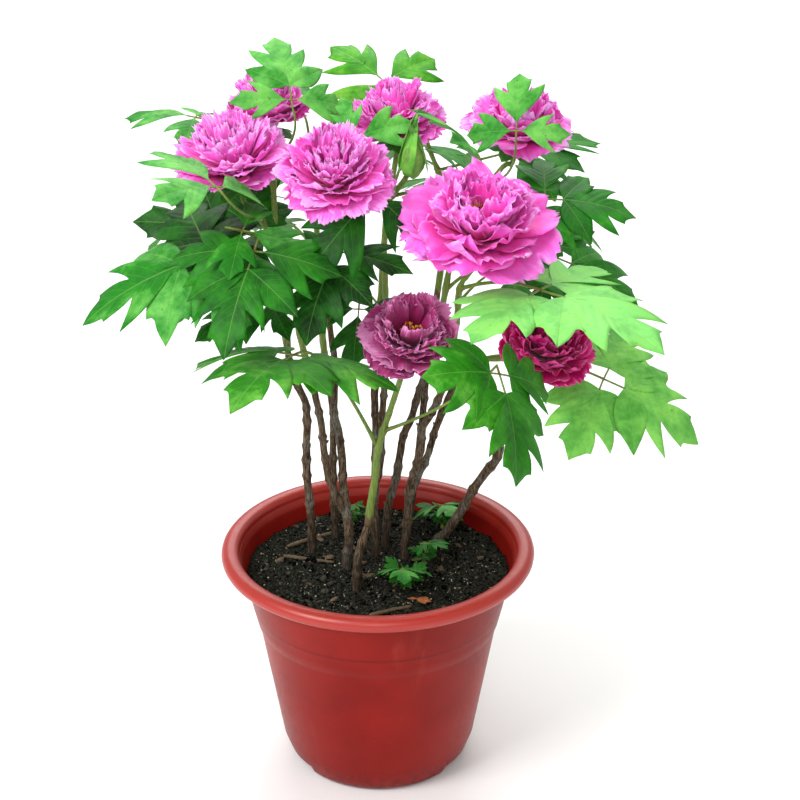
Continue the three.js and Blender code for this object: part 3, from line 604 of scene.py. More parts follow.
@dataclass(frozen=True)
class StemFinish:
    """Smooth green stem, flushed red where its tone is high, woody where its warmth is."""

    name: str
    green: Colour = srgb(84, 112, 36)
    pale: Colour = srgb(128, 150, 66)
    flush: Colour = srgb(140, 62, 44)
    wood: Colour = srgb(92, 72, 50)

    def build(self) -> Material:
        """Makes the material."""
        sheet = NodeSheet(self.name, 0.5, Specular_IOR_Level=0.35)
        grain = sheet.noise(sheet.place((1, 1, 0.1)), 700, 3)
        blotches = sheet.math("ADD", sheet.own("warmth"), sheet.noise(sheet.place((1, 1, 0.4)), 240, 4, 0.7))
        colour = sheet.layered(sheet.ramp(grain, (0.3, 0.7), (self.green, self.pale)),
                               (self.flush, sheet.own("tone"), 0.4, 1, 0.8),
                               (self.wood, blotches, 0.8, 1.1, 1))
        return sheet.finish(colour, grain, 0.4, 0.4)


@dataclass(frozen=True)
class GritFinish:
    """Loose grains of one kind: soil, perlite, chips, anthers."""

    name: str
    dark: Colour
    light: Colour
    roughness: float = 0.9
    scale: float = 300
    spread: tuple[float, float] = (0.3, 0.75)
    gloss: float = 0.25

    def build(self) -> Material:
        """Makes the material."""
        sheet = NodeSheet(self.name, self.roughness, Specular_IOR_Level=self.gloss)
        grain = sheet.noise(sheet.place(), self.scale, 6, 0.7)
        colour = sheet.ramp(sheet.by_tone(grain), self.spread, (self.dark, self.light))
        return sheet.finish(colour, grain, 0.8, 1.0)


@dataclass(frozen=True)
class PotFinish:
    """Terracotta-red plastic, satin, faintly scuffed; its rim painted paler as a highlight, its lower wall,
    foot and step crease darkened with painted shade.

    Its levels are heights in metres.
    """

    name: str = "terracotta_plastic"
    red: Colour = srgb(146, 26, 18)
    deep: Colour = srgb(124, 18, 13)
    # The paler rim colour is a painted highlight.
    rim: Colour = srgb(176, 40, 30)
    worn: Colour = srgb(186, 80, 64)
    shade: Colour = srgb(78, 10, 10)
    gloss: float = 0.14
    rim_levels: tuple[float, float] = (0.236, 0.246)

    def build(self) -> Material:
        """Makes the material."""
        sheet = NodeSheet(self.name, 0.4, Specular_IOR_Level=self.gloss)
        clouds = sheet.noise(sheet.place(), 8, 4)
        streaks = sheet.noise(sheet.place((1, 1, 0.1)), 40, 5, 0.6)
        scuffs = sheet.noise(sheet.place((1, 1, 0.5)), 190, 6, 0.75)
        scratches = sheet.noise(sheet.place((0.5, 0.5, 6)), 60, 4, 0.6)
        level = sheet.axes(sheet.coordinates())[2]
        foot = sheet.math("MULTIPLY", sheet.band(level, 0.04, 0.004), sheet.band(scuffs, 0.4, 0.62, 0, 0.6))
        crease = sheet.math("MULTIPLY", sheet.band(level, 0.1875, 0.1895), sheet.band(level, 0.193, 0.19))
        # Painted shade: the deep colour darkens the wall towards the bottom; the rim colour is a painted
        # highlight.
        colour = sheet.layered(
            sheet.ramp(clouds, (0.35, 0.62), (self.deep, self.red)), (self.deep, level, 0.15, 0, 0.35),
            (self.rim, level, *self.rim_levels, 0.85), (self.worn, streaks, 0.55, 0.8, 0.2),
            (self.worn, scuffs, 0.64, 0.76, 0.45))
        colour = sheet.mix(foot, colour, self.shade)
        colour = sheet.mix(sheet.math("MULTIPLY", crease, 0.35), colour, self.shade)
        height = sheet.math("ADD", scuffs, sheet.math("MULTIPLY", scratches, 0.3))
        height = sheet.math("MULTIPLY", height, sheet.band(level, *self.rim_levels, 1, 0.25))
        return sheet.finish(colour, height, 0.1, 0.3, sheet.band(scuffs, 0.4, 0.9, 0.34, 0.5))


class LeafKind(Enum):
    """How many leaflets the centre and side divisions of a leaf have."""

    FULL = (3, 3)
    MIDDLE = (3, 1)
    UPPER = (1, 1)


class LeafletStyle(Enum):
    """Half outlines of a leaflet, as arcs that meet in corners at its lobe tips and sinuses.

    Each point is its place along and across the leaflet, in leaflet lengths, and the angle of the side
    vein that ends there, in degrees.
    """

    LOBED = (((0, 0.003, 70), (0.09, 0.06, 62), (0.24, 0.195, 55), (0.42, 0.33, 50), (0.58, 0.4, 47),
              (0.735, 0.42, 44.5)),
             ((0.735, 0.42, 44.5), (0.675, 0.33, 43.8), (0.62, 0.245, 43), (0.575, 0.16, 42)),
             ((0.575, 0.16, 42), (0.64, 0.185, 40), (0.72, 0.205, 38.5), (0.815, 0.215, 37)),
             ((0.815, 0.215, 37), (0.83, 0.155, 33), (0.885, 0.105, 30), (0.95, 0.045, 26), (1, 0.002, 20)))
    CUT = (((0, 0.003, 70), (0.08, 0.05, 62), (0.2, 0.16, 55), (0.36, 0.27, 50), (0.5, 0.33, 47),
            (0.66, 0.37, 44.5)),
           ((0.66, 0.37, 44.5), (0.57, 0.27, 43.5), (0.5, 0.175, 42.6), (0.47, 0.115, 42)),
           ((0.47, 0.115, 42), (0.56, 0.155, 39), (0.66, 0.18, 37), (0.78, 0.19, 35)),
           ((0.78, 0.19, 35), (0.79, 0.135, 32), (0.86, 0.09, 29), (0.94, 0.04, 26), (1, 0.002, 20)))
    TOOTHED = (((0, 0.003, 70), (0.07, 0.075, 62), (0.2, 0.19, 56), (0.38, 0.265, 50), (0.54, 0.285, 46),
                (0.72, 0.27, 41.5)),
               ((0.72, 0.27, 41.5), (0.7, 0.205, 39.5), (0.72, 0.165, 37)),
               ((0.72, 0.165, 37), (0.82, 0.125, 32), (0.91, 0.065, 28), (1, 0.002, 20)))
    SMOOTH = (((0, 0.003, 70), (0.07, 0.07, 62), (0.2, 0.175, 56), (0.38, 0.24, 50), (0.56, 0.23, 43),
               (0.74, 0.16, 36), (0.88, 0.075, 30), (1, 0.002, 20)),)
    BRACT = (((0, 0.07, 85), (0.18, 0.12, 75), (0.45, 0.13, 62), (0.75, 0.07, 48), (1, 0.003, 30)),)
    SEPAL = (((0, 0.18, 85), (0.2, 0.32, 75), (0.5, 0.36, 62), (0.8, 0.22, 48), (1, 0.005, 30)),)


@dataclass(frozen=True)
class LeafSpec:
    """One leaf: where it leaves its stem, the place and turn of its hub, its size and its tone, partly its
    own colour and partly painted shade where it sits in shadow.
    """

    at: float
    hub: Point
    yaw: float
    pitch: float
    roll: float
    size: float
    kind: LeafKind
    tone: float = 0.5
    bow: Point | None = None
    warmth: float = 0.2
    # Tone changes of the two side divisions: painted shade, darkening a division that sits in shadow.
    side_painted_shades: tuple[float, float] = (0, 0)
    droop: float = 1


@dataclass(frozen=True)
class LeafMaker:
    """Makes compound leaves from flat leaflets that arch and fold."""

    droop: float = 32
    fold: float = 0.16
    division_spread: float = 88
    leaflet_spread: float = 60
    terminal_leaflet: float = 112
    side_leaflet: float = 82
    centre_stalklet: float = 26
    side_stalklet: float = 17
    stalklet_tones: tuple[float, ...] = (0.8, 0.3, 0.2, 0.2, 0.4, 0.6)
    side_scale: float = 0.85
    single_stalk: float = 0.6
    neck: float = 9
    petiole_radius: float = 1.7
    stalklet_radius: float = 1.1
    stalk_steps: int = 15
    columns: int = 5
    step: float = 0.055
    pattern_width: float = 0.65
    quilt: float = 0.008
    edge_wave: float = 0.03
    first_style_share: float = 0.6
    turn_spread: float = 3
    tone_spread: float = 0.07

    def outline(self, style: LeafletStyle) -> Array:
        """The style's rows: the share of the midrib, the reach of the side vein and its angle.

        The angles are made small beside the lengths, so that they count little in the spacing.
        """
        rows = []
        for arc in style.value:
            curve = smooth_path(np.array(arc, float) * [1, 1, 0.01], self.step)
            rows.append(curve if not rows else curve[1:])
        along, across, angle = np.vstack(rows).T
        angle = np.radians(angle * 100)
        u = np.maximum.accumulate(along - across / np.tan(angle))
        return np.stack([u, across / np.sin(angle), angle], -1)

    def leaflet(self, blades: MeshBuffer, matrix: Array, start: Point, angle: float, length: float,
                style: LeafletStyle, tone: float, rng: Rng, droop: float = 1) -> None:
        """Adds one leaflet.

        Args:
            blades: Where its sheet goes.
            matrix: The leaf's frame.
            start: Its foot in that frame.
            angle: Its heading in that frame, in degrees.
            length: Its length in millimetres.
            style: Its outline.
            tone: Its shade.
            rng: Where its small irregularities are drawn from.
            droop: How much it arches, as a share of the usual.
        """
        rows = self.outline(style)
        u, reach, vein = rows[:, 0:1], rows[:, 1:2], rows[:, 2:3]
        v = np.linspace(-1, 1, 2 * self.columns + 1)[None, :]
        reach = reach * (1 + np.sign(v) * rng.uniform(-0.08, 0.08)) * rng.uniform(0.95, 1.08)
        inner = np.abs(v) + 0.3 * (v * v - np.abs(v))
        along = length * (u + inner * reach * np.cos(vein))
        across = length * v * reach * np.sin(vein)
        bend = math.radians(self.droop * droop * rng.uniform(0.7, 1.3))
        turned = bend * along / length
        forward = length / bend * np.sin(turned)
        start_phase, swell = rng.uniform(0, FULL_TURN), rng.uniform(0.4, 1)
        twist = rng.uniform(-0.22, 0.22)
        quilt = self.quilt * length * np.abs(np.sin(10 * math.pi * u)) * np.abs(v) * (1 - np.abs(v)) * 4
        wave = np.sin(FULL_TURN * 1.5 * u + start_phase + 1.3 * np.sign(v))
        edge = self.edge_wave * length * swell * v * v * wave
        up = (self.fold * rng.uniform(0.5, 1.5) * np.sqrt(across * across + 4)
              - length / bend * (1 - np.cos(turned)) + quilt * np.minimum(1, reach * 6)
              + edge * np.minimum(1, reach * 3) + twist * across * u
              - 0.9 / length * across * across * rng.uniform(0.3, 1))
        heading = math.radians(angle)
        grid = np.stack([start[0] + forward * math.cos(heading) + across * math.sin(heading),
                         start[1] + forward * math.sin(heading) - across * math.cos(heading),
                         start[2] + up], -1)
        uv = np.stack([np.broadcast_to(u, reach.shape), 0.5 + 0.5 * v * reach / self.pattern_width], -1)
        sheet = placed(matrix, grid.reshape(-1, 3)).reshape(grid.shape)
        blades.add_sheet(sheet[:, ::-1], uv[:, ::-1], tone)

    def leaf(self, blades: MeshBuffer, stalks: MeshBuffer, foot: Array, spec: LeafSpec,
             rng: Rng) -> None:
        """Adds a compound leaf with its stalk.

        Args:
            blades: Where its leaflets go.
            stalks: Where its stalk and stalklets go.
            foot: Where the stalk leaves the stem.
            spec: The leaf.
            rng: Where its small irregularities are drawn from.
        """
        matrix = turned_frame(spec.hub, spec.yaw, spec.pitch, spec.roll)
        blades.warmth = spec.warmth
        hub = np.array(spec.hub, float)
        forward = matrix[:3, 0]
        bow = np.array(spec.bow, float) if spec.bow else hub - 0.45 * np.linalg.norm(hub - foot) * forward
        neck = hub - self.neck * forward
        t = np.linspace(0, 1, self.stalk_steps)[:, None]
        curve = np.vstack([(1 - t) ** 2 * foot + 2 * t * (1 - t) * bow + t * t * neck, hub])
        size = max(spec.size, 0.3) ** 0.5
        share = np.linspace(0, 1, len(curve))
        radii = self.petiole_radius * size * np.interp(share, [0, 0.08, 0.3, 1], [1.7, 1.2, 1, 0.8])
        stalks.add_tube(curve, radii, 8, np.interp(share, [0, 0.12, 0.8, 1], [0.7, 0.2, 0.2, 0.75]))
        for side in (-1, 0, 1):
            count = spec.kind.value[0 if side == 0 else 1]
            turn = side * self.division_spread
            scale = spec.size * (1 if side == 0 else self.side_scale)
            stalk = spec.size * (self.centre_stalklet if side == 0 else self.side_stalklet)
            stalk *= self.single_stalk if count == 1 else 1
            heading = math.radians(turn)
            start = (stalk * math.cos(heading), stalk * math.sin(heading), 0)
            line = placed(matrix, np.outer(np.linspace(0, 1.06, len(self.stalklet_tones)), start))
            stalks.add_tube(line, np.full(len(line), self.stalklet_radius * size), 7,
                            np.array(self.stalklet_tones))
            for spread in ((-self.leaflet_spread, 0, self.leaflet_spread) if count == 3 else (0,)):
                is_centre = spread == 0
                length = (self.terminal_leaflet if is_centre else self.side_leaflet) * scale
                pair = ((LeafletStyle.LOBED, LeafletStyle.CUT) if is_centre
                        else (LeafletStyle.TOOTHED, LeafletStyle.SMOOTH))
                style = pair[0 if rng.uniform() < self.first_style_share else 1]
                # A side division's tone may be lowered here as painted shade.
                tone = spec.tone + (spec.side_painted_shades[side > 0] if side else 0)
                angle = turn + spread + rng.uniform(-self.turn_spread, self.turn_spread)
                self.leaflet(blades, matrix, start, angle, length, style,
                             tone + rng.uniform(-self.tone_spread, self.tone_spread), rng, spec.droop)


@dataclass(frozen=True)
class BloomSpec:
    """One double flower: its middle, width, the lean of its axis, its turn, and how open it is."""

    middle: Point
    diameter: float
    lean: Point
    turn: float
    slot: str = "petal"
    openness: float = 0
    breadth: float = 0.8
    is_full: bool = False
    seat: float = 0.24

    def matrix(self) -> Array:
        """The frame of the flower: its seat on the stem, with +Z along its axis."""
        axis = unit(np.array(self.lean, float))
        tilt = np.array(Vector((0, 0, 1)).rotation_difference(Vector(axis)).to_matrix())
        turn = turned_frame((0, 0, 0), self.turn, 0, 0)[:3, :3]
        whole = np.eye(4)
        whole[:3, :3] = tilt @ turn
        whole[:3, 3] = np.array(self.middle) - self.seat * self.diameter * axis
        return whole


@dataclass(frozen=True)
class PetalRing:
    """One ring of petals: how many, the root's radius and height, its shape, and how pale it is."""

    count: int
    root: tuple[float, float]
    length: float
    half_width: float
    lean: tuple[float, float]
    cup: float
    swirl: float
    turn: float
    ruffle: float
    opening: float = 0
    paleness: float = 0.5


BLOOMS = {
    1: BloomSpec((-140, -28, 706), 134, (-0.15, -0.22, 1), 10, breadth=0.72),
    2: BloomSpec((-38, -116, 718), 122, (0, -0.5, 1), 35, breadth=0.72),
    3: BloomSpec((100, -140, 681), 156, (0.05, -0.4, 1), 0, breadth=1, is_full=True),
    4: BloomSpec((34, -114, 549), 108, (0.1, -0.7, 1), 20, "petal_dusky", 0.6, 0.9),
    5: BloomSpec((170, -98, 534), 110, (0.3, -0.6, 1), 50, "petal_deep", 0, 1),
    6: BloomSpec((146, 60, 713), 113, (0.12, -0.25, 1), 25, breadth=1),
    7: BloomSpec((20, 70, 717), 112, (0, -0.25, 1), 5),
    8: BloomSpec((-114, 86, 722), 104, (-0.12, 0, 1), 40, breadth=1),
}

CANES: dict[int, list[tuple[tuple[float, float], list[Point]]]] = {
    1: [((5.6, 4.2), [(-73, 27, 240), (-74, 25, 287), (-77, 20, 336), (-76, 15, 368), (-75, 10, 411),
                      (-81, 5, 435), (-87, 0, 451), (-92, -5, 480)])],
    2: [((6.2, 4.2), [(-34, -11, 240), (-31, -10, 266), (-34, -5, 303), (-37, 0, 326), (-38, 5, 355),
                      (-42, 12, 387), (-47, 20, 406), (-55, 35, 452)]),
        ((4.6, 4), [(-33, -6, 292), (-45, -8, 318), (-53, -9, 345), (-57, -12, 381), (-59, -14, 407),
                    (-67, -18, 454)])],
    3: [((6.4, 4.6), [(-22, -57, 240), (-20, -55, 271), (-10, -52, 304)])],
    4: [((5.8, 4.2), [(-3, 13, 240), (-4, 15, 292), (-3, 20, 325), (-2, 25, 381), (-3, 30, 424),
                      (1, 40, 467)]),
        ((4.4, 3.8), [(-3.5, 17, 315), (3, 19, 345), (5, 18, 399), (7, 15, 430), (9, 12, 456)])],
    5: [((5.6, 4.2), [(8.5, 38, 240), (11, 40, 280), (20, 43, 315), (27, 50, 359), (36, 55, 379),
                      (43, 60, 404), (56, 65, 445)])],
    6: [((6, 4.2), [(29.5, 13, 240), (32, 10, 279), (35, 5, 323), (43, 0, 355), (47, -5, 382),
                    (48, -8, 399), (56, -12, 415), (66, -20, 442)]),
        ((4.6, 4), [(34, 6, 310), (44, 9, 334), (54, 13, 357), (63, 16, 388), (77, 20, 424),
                    (95, 10, 467)])],
    7: [((6, 5.2), [(62, 23, 240), (76, 20, 260), (91, 10, 292), (104, 2, 322), (117, -6, 347),
                    (126, -10, 362), (130, -11, 379)])],
    8: [((5, 4), [(-48, 58, 240), (-50, 68, 290), (-50, 84, 350), (-48, 104, 420), (-56, 126, 480)])],
    9: [((5, 4), [(34, 78, 240), (42, 88, 300), (50, 106, 370), (56, 126, 430), (64, 146, 480)])],
}

STUB = 7
LEAF_THICKNESS = 0.4
SOIL_LEVEL = 225
SOIL_MOUND = 5
SOIL_RADIUS = 149
FULL, MIDDLE, UPPER = LeafKind.FULL, LeafKind.MIDDLE, LeafKind.UPPER


@dataclass(frozen=True)
class ShootSpec:
    """One leafy shoot: the cane branch that it grows from, its stem, its leaves and its end."""

    cane: tuple[int, int]
    stem: list[Point]
    leaves: list[LeafSpec]
    bloom: int | None = None
    bud: Point | None = None


SHOOTS = {
    1: ShootSpec((2, 1), [(-78, -20, 504), (-92, -22, 577), (-115, -22, 635)], [
        LeafSpec(0.55, (-116, -112, 634), -105, -32, 0, 0.85, MIDDLE, 0.28),
        LeafSpec(0.8, (-147, -144, 709), 132, 20, 15, 0.72, UPPER, 0.6, (-126, -150, 682)),
        LeafSpec(0.72, (-128, -92, 648), -10, -8, 18, 0.58, UPPER, 0.5),
    ], bloom=1),
    2: ShootSpec((2, 0), [(-58, 30, 500), (-52, 0, 560), (-42, -55, 625)], [
        LeafSpec(0.55, (-36, -85, 624), -115, -32, 0, 0.75, MIDDLE, 0.12),
        LeafSpec(0.3, (-126, 80, 585), 160, -20, 0, 0.75, UPPER, 0.15),
    ], bloom=2),
    3: ShootSpec((6, 0), [(75, -38, 490), (81, -60, 540), (83, -92, 590)], [
        LeafSpec(0.7, (155, -168, 616), -38, -2, 0, 1.05, FULL, 0.98, None, 0.25, droop=0.6),
        LeafSpec(0.6, (132, -60, 592), 15, -10, 15, 0.6, UPPER, 0.35),
    ], bloom=3),
    4: ShootSpec((3, 0), [(-7, -50, 328), (-2, -52, 361), (1, -55, 395), (10, -62, 430), (23, -78, 480)], [
        LeafSpec(0.4, (-80, -112, 526), -112, 10, 0, 1.02, FULL, 0.5, None, 0.5),
        LeafSpec(0.5, (117, -205, 546), -70, -42, -30, 0.8, FULL, 0.4, (84, -150, 490), 0.45),
    ], bloom=4),
    5: ShootSpec((6, 1), [(114, -14, 480), (140, -42, 492)], [
        LeafSpec(0.4, (230, -66, 480), -15, -20, 25, 0.88, FULL, 0.8, None, 0.4),
    ], bloom=5),
    6: ShootSpec((5, 0), [(70, 70, 509), (80, 74, 560), (105, 70, 620), (130, 64, 662)], [
        LeafSpec(0.55, (172, 26, 640), 0, -2, 25, 0.72, FULL, 0.4),
        LeafSpec(0.3, (184, 60, 566), -5, -22, 25, 0.85, FULL, 0.3),
        LeafSpec(0.8, (138, -24, 727), 85, 55, -8, 0.52, UPPER, 0.65, (140, -14, 676)),
    ], bloom=6),
    7: ShootSpec((4, 0), [(4, 46, 530), (10, 56, 610)], [
        LeafSpec(0.2, (-18, -26, 540), -95, -40, 0, 0.5, UPPER, 0.15),
        LeafSpec(0.7, (-20, -12, 716), 10, 20, 50, 0.5, UPPER, 0.62, (-40, 5, 680)),
        LeafSpec(0.6, (40, 150, 655), 70, -10, 0, 0.8, MIDDLE, 0.4),
    ], bloom=7),
    8: ShootSpec((1, 0), [(-98, 5, 540), (-104, 35, 600), (-108, 68, 660)], [
        LeafSpec(0.08, (-108, -62, 566), 200, -16, -8, 0.62, MIDDLE, 0.25, (-110, -25, 530)),
        # One side division of this leaf is darkened as painted shade, where it sits in shadow.
        LeafSpec(0.2, (-164, -68, 614), 190, -18, -20, 1.08, FULL, 0.58, None, 0.15, (-0.58, 0)),
        LeafSpec(0.4, (-141, 26, 604), 172, 9, -48, 0.85, FULL, 0.1),
        LeafSpec(0.85, (-84, 16, 747), 102, 48, 8, 0.6, MIDDLE, 0.7, (-72, 0, 712)),
        LeafSpec(0.75, (-184, 54, 718), 175, 10, 0, 0.6, UPPER, 0.6, (-168, 50, 672)),
    ], bloom=8),
    9: ShootSpec((4, 1), [(9, 5, 549), (8, 0, 600), (13, -14, 650), (28, -36, 680)], [
        LeafSpec(0.8, (94, -50, 717), 145, 35, 35, 0.62, UPPER, 0.6, (112, -52, 692)),
        LeafSpec(0.8, (0, -84, 682), 212, -35, -35, 0.74, UPPER, 0.2),
    ], bud=(37, -45, 701)),
    10: ShootSpec((8, 0), [(-64, 145, 540), (-72, 165, 600), (-74, 175, 640)], [
        LeafSpec(0.35, (-165, 195, 575), 165, -20, 0, 0.9, FULL, 0.4),
        LeafSpec(0.55, (-95, 250, 605), 110, -20, 0, 0.85, FULL, 0.5),
        LeafSpec(0.75, (-5, 245, 625), 80, -15, 0, 0.75, MIDDLE, 0.45),
        LeafSpec(1, (-85, 180, 690), 120, 15, 0, 0.75, MIDDLE, 0.5),
    ]),
    11: ShootSpec((9, 0), [(72, 165, 540), (72, 170, 600), (52, 165, 660)], [
        LeafSpec(0.35, (165, 215, 565), 40, -20, 0, 0.9, FULL, 0.4),
        LeafSpec(0.5, (85, 260, 585), 85, -25, 0, 0.8, MIDDLE, 0.5),
        LeafSpec(0.8, (150, 160, 650), 25, 5, 10, 0.8, MIDDLE, 0.4),
        LeafSpec(1, (8, 140, 731), 135, 25, -20, 0.72, UPPER, 0.5, None, 0.9),
    ]),
}

SPROUTS = {
    1: ((29, -50), LeafSpec(1, (27, -62, 258), -90, 20, 0, 0.32, UPPER, 0.5)),
    2: ((50, -5), LeafSpec(1, (54, -12, 262), -40, 20, 0, 0.22, UPPER, 0.4)),
    3: ((72, 92), LeafSpec(1, (70, 82, 260), -70, 20, 0, 0.36, UPPER, 0.6)),
    4: ((-30, 96), LeafSpec(1, (-28, 90, 256), -100, 20, 0, 0.2, UPPER, 0.35)),
}

TWIGS = {
    1: ((-101, 42), (-52, 72), 2.4),
    2: ((-104, 20), (-48, 2), 2.0),
    3: ((-8, -110), (36, -92), 2.4),
}


@dataclass
class Flower:
    """Petals and stamens of one bloom."""

    number: int
    spec: BloomSpec
    core_height: float = 14
    full_core_rise: float = 10
    rings: tuple[PetalRing, ...] = (
        PetalRing(7, (6, 4), 0.95, 0.54, (52, 97), 0.14, 0.12, 0, 0.09),
        PetalRing(7, (6.5, 5), 0.92, 0.5, (47, 80), 0.18, -0.15, 24, 0.11),
        PetalRing(7, (7, 6.5), 0.88, 0.44, (38, 62), 0.22, 0.16, 8, 0.13),
        PetalRing(7, (7.5, 8), 0.84, 0.38, (28, 46), 0.24, -0.2, 31, 0.15),
        PetalRing(8, (8, 9), 0.9, 0.31, (22, 30), 0.24, 0.24, 14, 0.2, 8, 0.52),
        PetalRing(8, (8, 10.5), 0.93, 0.25, (14, 19), 0.2, -0.3, 36, 0.26, 16, 0.55),
        PetalRing(7, (6, 12), 0.94, 0.22, (5, 7), 0.16, 0.34, 5, 0.32, 0, 0.6),
    )
    full_rings: tuple[PetalRing, ...] = (
        PetalRing(7, (6, 4), 0.96, 0.56, (55, 103), 0.14, 0.12, 0, 0.1, 0, 0.28),
        PetalRing(7, (6.5, 5), 0.93, 0.5, (50, 84), 0.18, -0.15, 24, 0.12, 0, 0.3),
        PetalRing(8, (7, 6.5), 0.9, 0.44, (40, 60), 0.22, 0.16, 8, 0.15, 0, 0.34),
        PetalRing(8, (7.5, 8), 0.9, 0.38, (30, 38), 0.24, -0.2, 31, 0.18, 0, 0.36),
        PetalRing(9, (8, 9), 0.86, 0.31, (23, 22), 0.24, 0.24, 14, 0.22, 0, 0.4),
        PetalRing(9, (8, 12), 0.7, 0.24, (16, 10), 0.2, -0.3, 36, 0.28, 0, 0.45),
        PetalRing(11, (7.5, 19), 0.34, 0.15, (30, 6), 0.16, 0.34, 5, 0.36, 0, 0.8),
        PetalRing(7, (5, 21), 0.26, 0.11, (14, -14), 0.16, -0.34, 20, 0.4, 0, 0.95),
    )
    rows: int = 15
    columns: int = 21
    outline: tuple[tuple[float, float], ...] = (
        (0, 0.17), (0.12, 0.34), (0.3, 0.62), (0.5, 0.87), (0.68, 1), (0.84, 0.99), (0.94, 0.9), (1, 0.78))
    fringe: float = 0.09
    fringe_by_ruffle: float = 0.35
    wave_counts: tuple[float, ...] = (1.5, 2.6, 4.3)
    crinkle_counts: tuple[tuple[float, float], ...] = ((3.1, 3.0), (6.3, -2.2), (1.2, 6.5))
    turn_spread: float = 14
    petal_thickness: float = 0.28
    stamens: int = 34
    open_stamens: int = 26

    @property
    def core_top(self) -> float:
        """How high the flower's core stands over its seat."""
        return self.core_height + (self.full_core_rise if self.spec.is_full else 0)

    def notches(self, a: Array, rng: Rng) -> Array:
        """How deep the tip is notched at each place across it, from 0 to about 1."""
        depth = 0.25 * (1 + np.cos(9 * math.pi * a + phase(rng)))
        for _ in range(rng.integers(2, 5)):
            middle, width = rng.uniform(-0.85, 0.85), rng.uniform(0.08, 0.2)
            depth = depth + rng.uniform(0.3, 1.1) * np.maximum(0, 1 - np.abs(a - middle) / width)
        return depth

    def petal(self, blades: MeshBuffer, ring: PetalRing, azimuth: float, rng: Rng) -> None:
        """Adds one petal: a cupped, crinkled sheet that leans out from the axis, fringed at its tip."""
        radius = self.spec.diameter / 2
        length = ring.length * radius * rng.uniform(0.78, 1.1)
        width = ring.half_width * radius * rng.uniform(0.85, 1.15) * self.spec.breadth
        shift = rng.uniform(-11, 9) + self.spec.openness * ring.opening
        lean0, lean1 = (math.radians(angle + shift + rng.uniform(-4, 4)) for angle in ring.lean)
        if abs(lean1 - lean0) < 0.02:
            lean1 = lean0 + 0.02
        rate = (lean1 - lean0) / length
        t = np.linspace(0, 1, self.rows)[:, None] ** 0.85
        a = np.linspace(-1, 1, self.columns)[None, :]
        depth = self.fringe + self.fringe_by_ruffle * ring.ruffle
        share = t * (1 - 0.14 * np.abs(a) ** 2.6 - depth * t ** 3 * self.notches(a, rng))
        profile = np.interp(t, *zip(*self.outline))
        lean = lean0 + (lean1 - lean0) * share
        out = ring.root[0] + (math.cos(lean0) - np.cos(lean)) / rate
        rise = ring.root[1] + (np.sin(lean) - math.sin(lean0)) / rate
        waves = sum(rng.uniform(0.4, 1) * np.sin(k * math.pi * a + phase(rng)) / k ** 0.6
                    for k in self.wave_counts)
        crinkle = sum(rng.uniform(0.3, 1) * np.sin(k * math.pi * a + q * math.pi * t + phase(rng))
                      for k, q in self.crinkle_counts)
        curl = rng.uniform(-0.5, 0.9) * np.maximum(0, t - 0.6) ** 2
        lift = width * (ring.cup * a * a + ring.swirl * a * share + ring.ruffle * t ** 2.2 * waves
                        + 0.03 * t * crinkle) + length * curl * 0.8
        flat = np.stack([out - lift * np.cos(lean), a * profile * width * (1 - 0.06 * np.abs(waves) * t ** 2),
                         rise + lift * np.sin(lean)], -1)
        turn = math.radians(azimuth)
        spun = flat @ np.array([[math.cos(turn), math.sin(turn), 0], [-math.sin(turn), math.cos(turn), 0],
                                [0, 0, 1]])
        uv = np.stack([np.broadcast_to(0.5 + 0.5 * a, share.shape), np.broadcast_to(t, share.shape)], -1)
        grid = placed(self.spec.matrix(), spun.reshape(-1, 3)).reshape(flat.shape)
        blades.add_sheet(grid[:, ::-1], uv[:, ::-1], float(np.clip(rng.normal(ring.paleness, 0.2), 0, 1)))

    def build_petals(self, material: Material) -> Thing:
        """Makes all the petals as one piece."""
        rng = Seed.PETALS.draws(self.number)
        blades = MeshBuffer()
        rings = self.full_rings if self.spec.is_full else self.rings
        for ring in rings[:-1] if self.spec.openness else rings:
            count = round(ring.count / self.spec.breadth)
            for i in range(count):
                spread = rng.uniform(-self.turn_spread, self.turn_spread)
                self.petal(blades, ring, ring.turn + 360 * i / count + spread, rng)
        receptacle = MeshBuffer()
        profile = [(-1, 3), (2, 9.5), (7, 11), (self.core_top, 8.5), (self.core_top + 0.2, 1)]
        path = placed(self.spec.matrix(), np.array([(0, 0, z) for z, _ in profile], float))
        receptacle.add_tube(path, np.array([r for _, r in profile]), 12, 0.1)
        petals = blades.build("petals", [material], thickness=self.petal_thickness)
        core = receptacle.build("core", [material])
        return finish_piece(join(f"bloom_{self.number}_petals", [petals, core]), self.spec.slot,
                            f"bloom_{self.number}")

    def build_stamens(self, material: Material, thread: Material) -> Thing:
        """Makes the tuft of stamens as one piece: threads with an anther on each."""
        rng = Seed.STAMENS.draws(self.number)
        threads, anthers = MeshBuffer(), MeshBuffer()
        base = self.core_top - 1
        openness = max(self.spec.openness, float(self.spec.is_full))
        for _ in range(round(self.stamens + self.open_stamens * openness)):
            angle, foot, spread = rng.uniform(0, FULL_TURN), rng.uniform(0.5, 4.4), rng.uniform(0.2, 1)
            spread *= 1 + 1.3 * openness
            height = rng.uniform(11, 17.5) + 4 * openness
            out = np.array([math.cos(angle), math.sin(angle), 0])
            start = out * foot + [0, 0, base]
            end = out * (foot + 4.2 * spread) + [0, 0, base + height]
            middle = (start + end) / 2 + out * rng.uniform(-1, 0.6)
            path = placed(self.spec.matrix(), smooth_path([start, middle, end], 4))
            threads.add_tube(path, np.full(len(path), 0.32), 5, rng.uniform(0, 1))
            tip = placed(self.spec.matrix(), np.array([end + [0, 0, s] for s in (-0.4, 0.6, 2, 3.2, 3.8)]))
            anthers.add_tube(tip, np.array([0.3, 0.75, 0.85, 0.7, 0.2]), 6, rng.uniform(0, 1))
        parts = [anthers.build("anthers", [material]), threads.build("threads", [thread])]
        return finish_piece(join(f"bloom_{self.number}_stamens", parts), "stamen", f"stamens_{self.number}")


